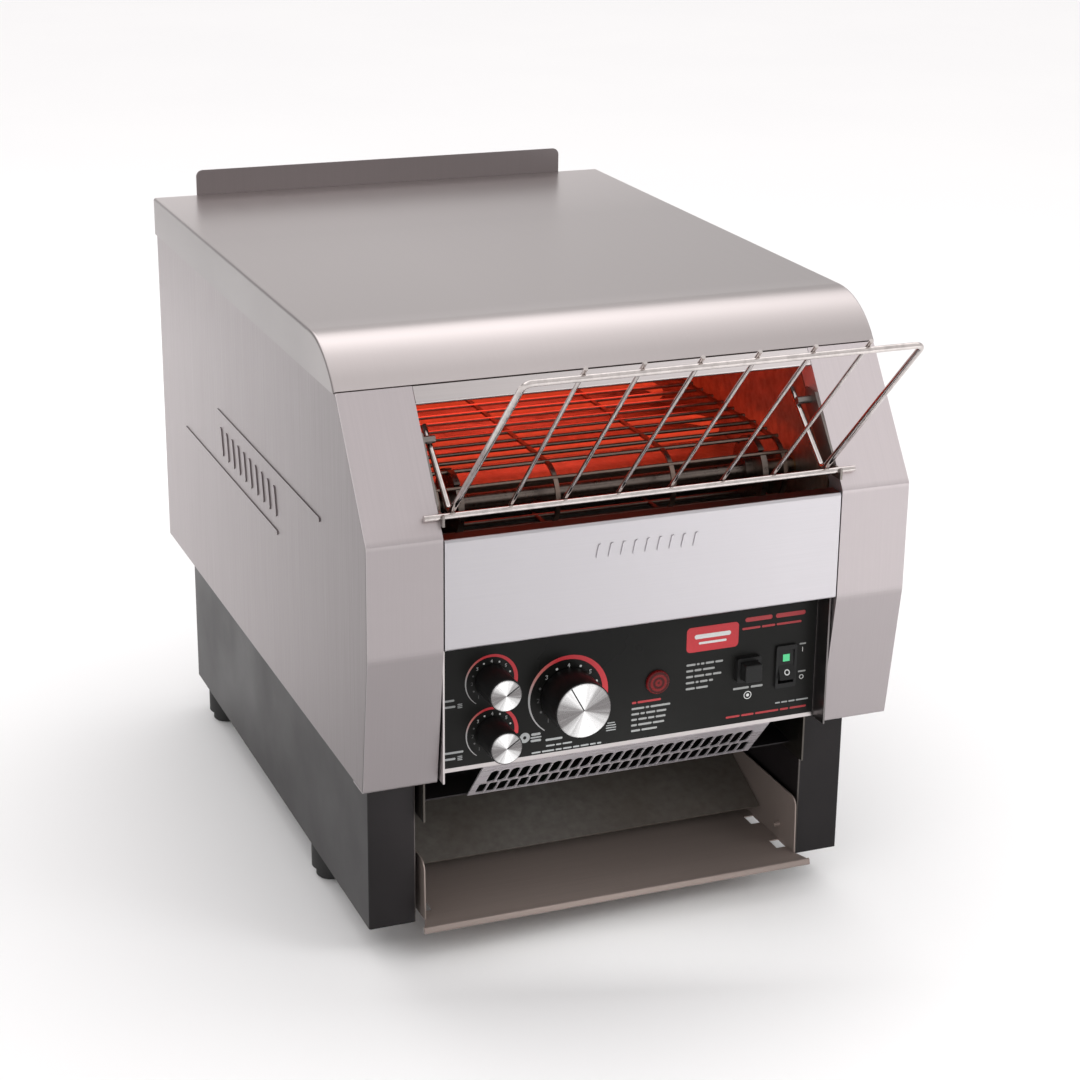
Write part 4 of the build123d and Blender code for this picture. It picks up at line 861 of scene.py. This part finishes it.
add_piece("rocker_window", rocker_window, green_window, "power_rocker")
add_piece("rocker_ring", rocker_ring, white_ink, "power_rocker")

# ---------------------------------------------------------------- floor, light and sky
floor_mesh = bpy.data.meshes.new("floor")
bm = bmesh.new()
bmesh.ops.create_circle(bm, cap_ends=True, segments=64, radius=14)
bm.to_mesh(floor_mesh)
bm.free()
floor = bpy.data.objects.new("floor", floor_mesh)
bpy.context.scene.collection.objects.link(floor)
ground = Finish("pale_floor", Roughness=0.9)
ground.colour(ground.ramp(ground.noise(2.0, 2.0), (0.878, 0.878, 0.88), (0.888, 0.888, 0.888)))
floor_mesh.materials.append(ground.material)


def area_light(name, place, aim, size, power, colour=(1, 1, 1), glossy=False):
    data = bpy.data.lights.new(name, "AREA")
    data.shape = "RECTANGLE"
    data.size, data.size_y = size
    data.energy = power
    data.color = colour
    light = bpy.data.objects.new(name, data)
    light.visible_glossy = glossy
    light.visible_camera = False
    light.location = place
    light.rotation_euler = (Vector(aim) - Vector(place)).to_track_quat("-Z", "Y").to_euler()
    bpy.context.scene.collection.objects.link(light)
    return light


area_light("overhead_softbox", (0.2, 0.3, 2.8), (0, 0, 0.3), (2.2, 1.2), 15)
area_light("front_floor_light", (0.85, -1.15, 0.75), (0.7, -1.0, 0), (0.5, 0.5), 5)
area_light("discharge_fill", (-0.03, -0.26, 0.10), (0.05, 0.0, 0.10), (0.22, 0.03), 0.14)
area_light("rear_floor_light", (-0.6, 1.5, 0.7), (-0.6, 1.3, 0), (0.5, 0.5), 2.5)

glow = area_light(
    "chamber_glow", at(0, 270, 372), at(0, 270, 300), (0.22, 0.26), 0.52, (1.0, 0.085, 0.055), True
)
glow.data.spread = math.radians(110)

# The sky has one column of soft levels in front, and another behind with a bright bank high up.
FRONT_SKY = ((0.0, 0.80), (0.35, 0.82), (0.72, 0.90), (0.88, 0.78), (1.0, 0.9))
REAR_SKY = ((0.0, 1.1), (0.16, 0.98), (0.27, 0.60), (0.50, 0.48), (0.62, 1.75), (0.80, 1.95), (1.0, 0.95))

world = bpy.data.worlds.new("studio")
bpy.context.scene.world = world
world.use_nodes = True
sky = world.node_tree
coordinate = sky.nodes.new("ShaderNodeTexCoord")
split = sky.nodes.new("ShaderNodeSeparateXYZ")
sky.links.new(coordinate.outputs["Generated"], split.inputs["Vector"])


def sky_column(levels):
    column = sky.nodes.new("ShaderNodeValToRGB")
    stops = column.color_ramp.elements
    while len(stops) < len(levels):
        stops.new(0.5)
    for stop, (place, level) in zip(stops, levels):
        stop.position = place
        stop.color = (level, level * 0.98, level * 0.98, 1)
    sky.links.new(split.outputs["Z"], column.inputs["Fac"])
    return column.outputs["Color"]


to_rear = sky.nodes.new("ShaderNodeMapRange")
to_rear.inputs["From Min"].default_value = -0.35
to_rear.inputs["From Max"].default_value = 0.35
both = sky.nodes.new("ShaderNodeMix")
both.data_type = "RGBA"
sky.links.new(split.outputs["Y"], to_rear.inputs["Value"])
sky.links.new(to_rear.outputs["Result"], both.inputs[0])
sky.links.new(sky_column(FRONT_SKY), both.inputs[6])
sky.links.new(sky_column(REAR_SKY), both.inputs[7])
sky.links.new(both.outputs[2], sky.nodes["Background"].inputs["Color"])

bpy.context.scene.view_settings.view_transform = "Standard"
bpy.context.scene.cycles.use_denoising = True
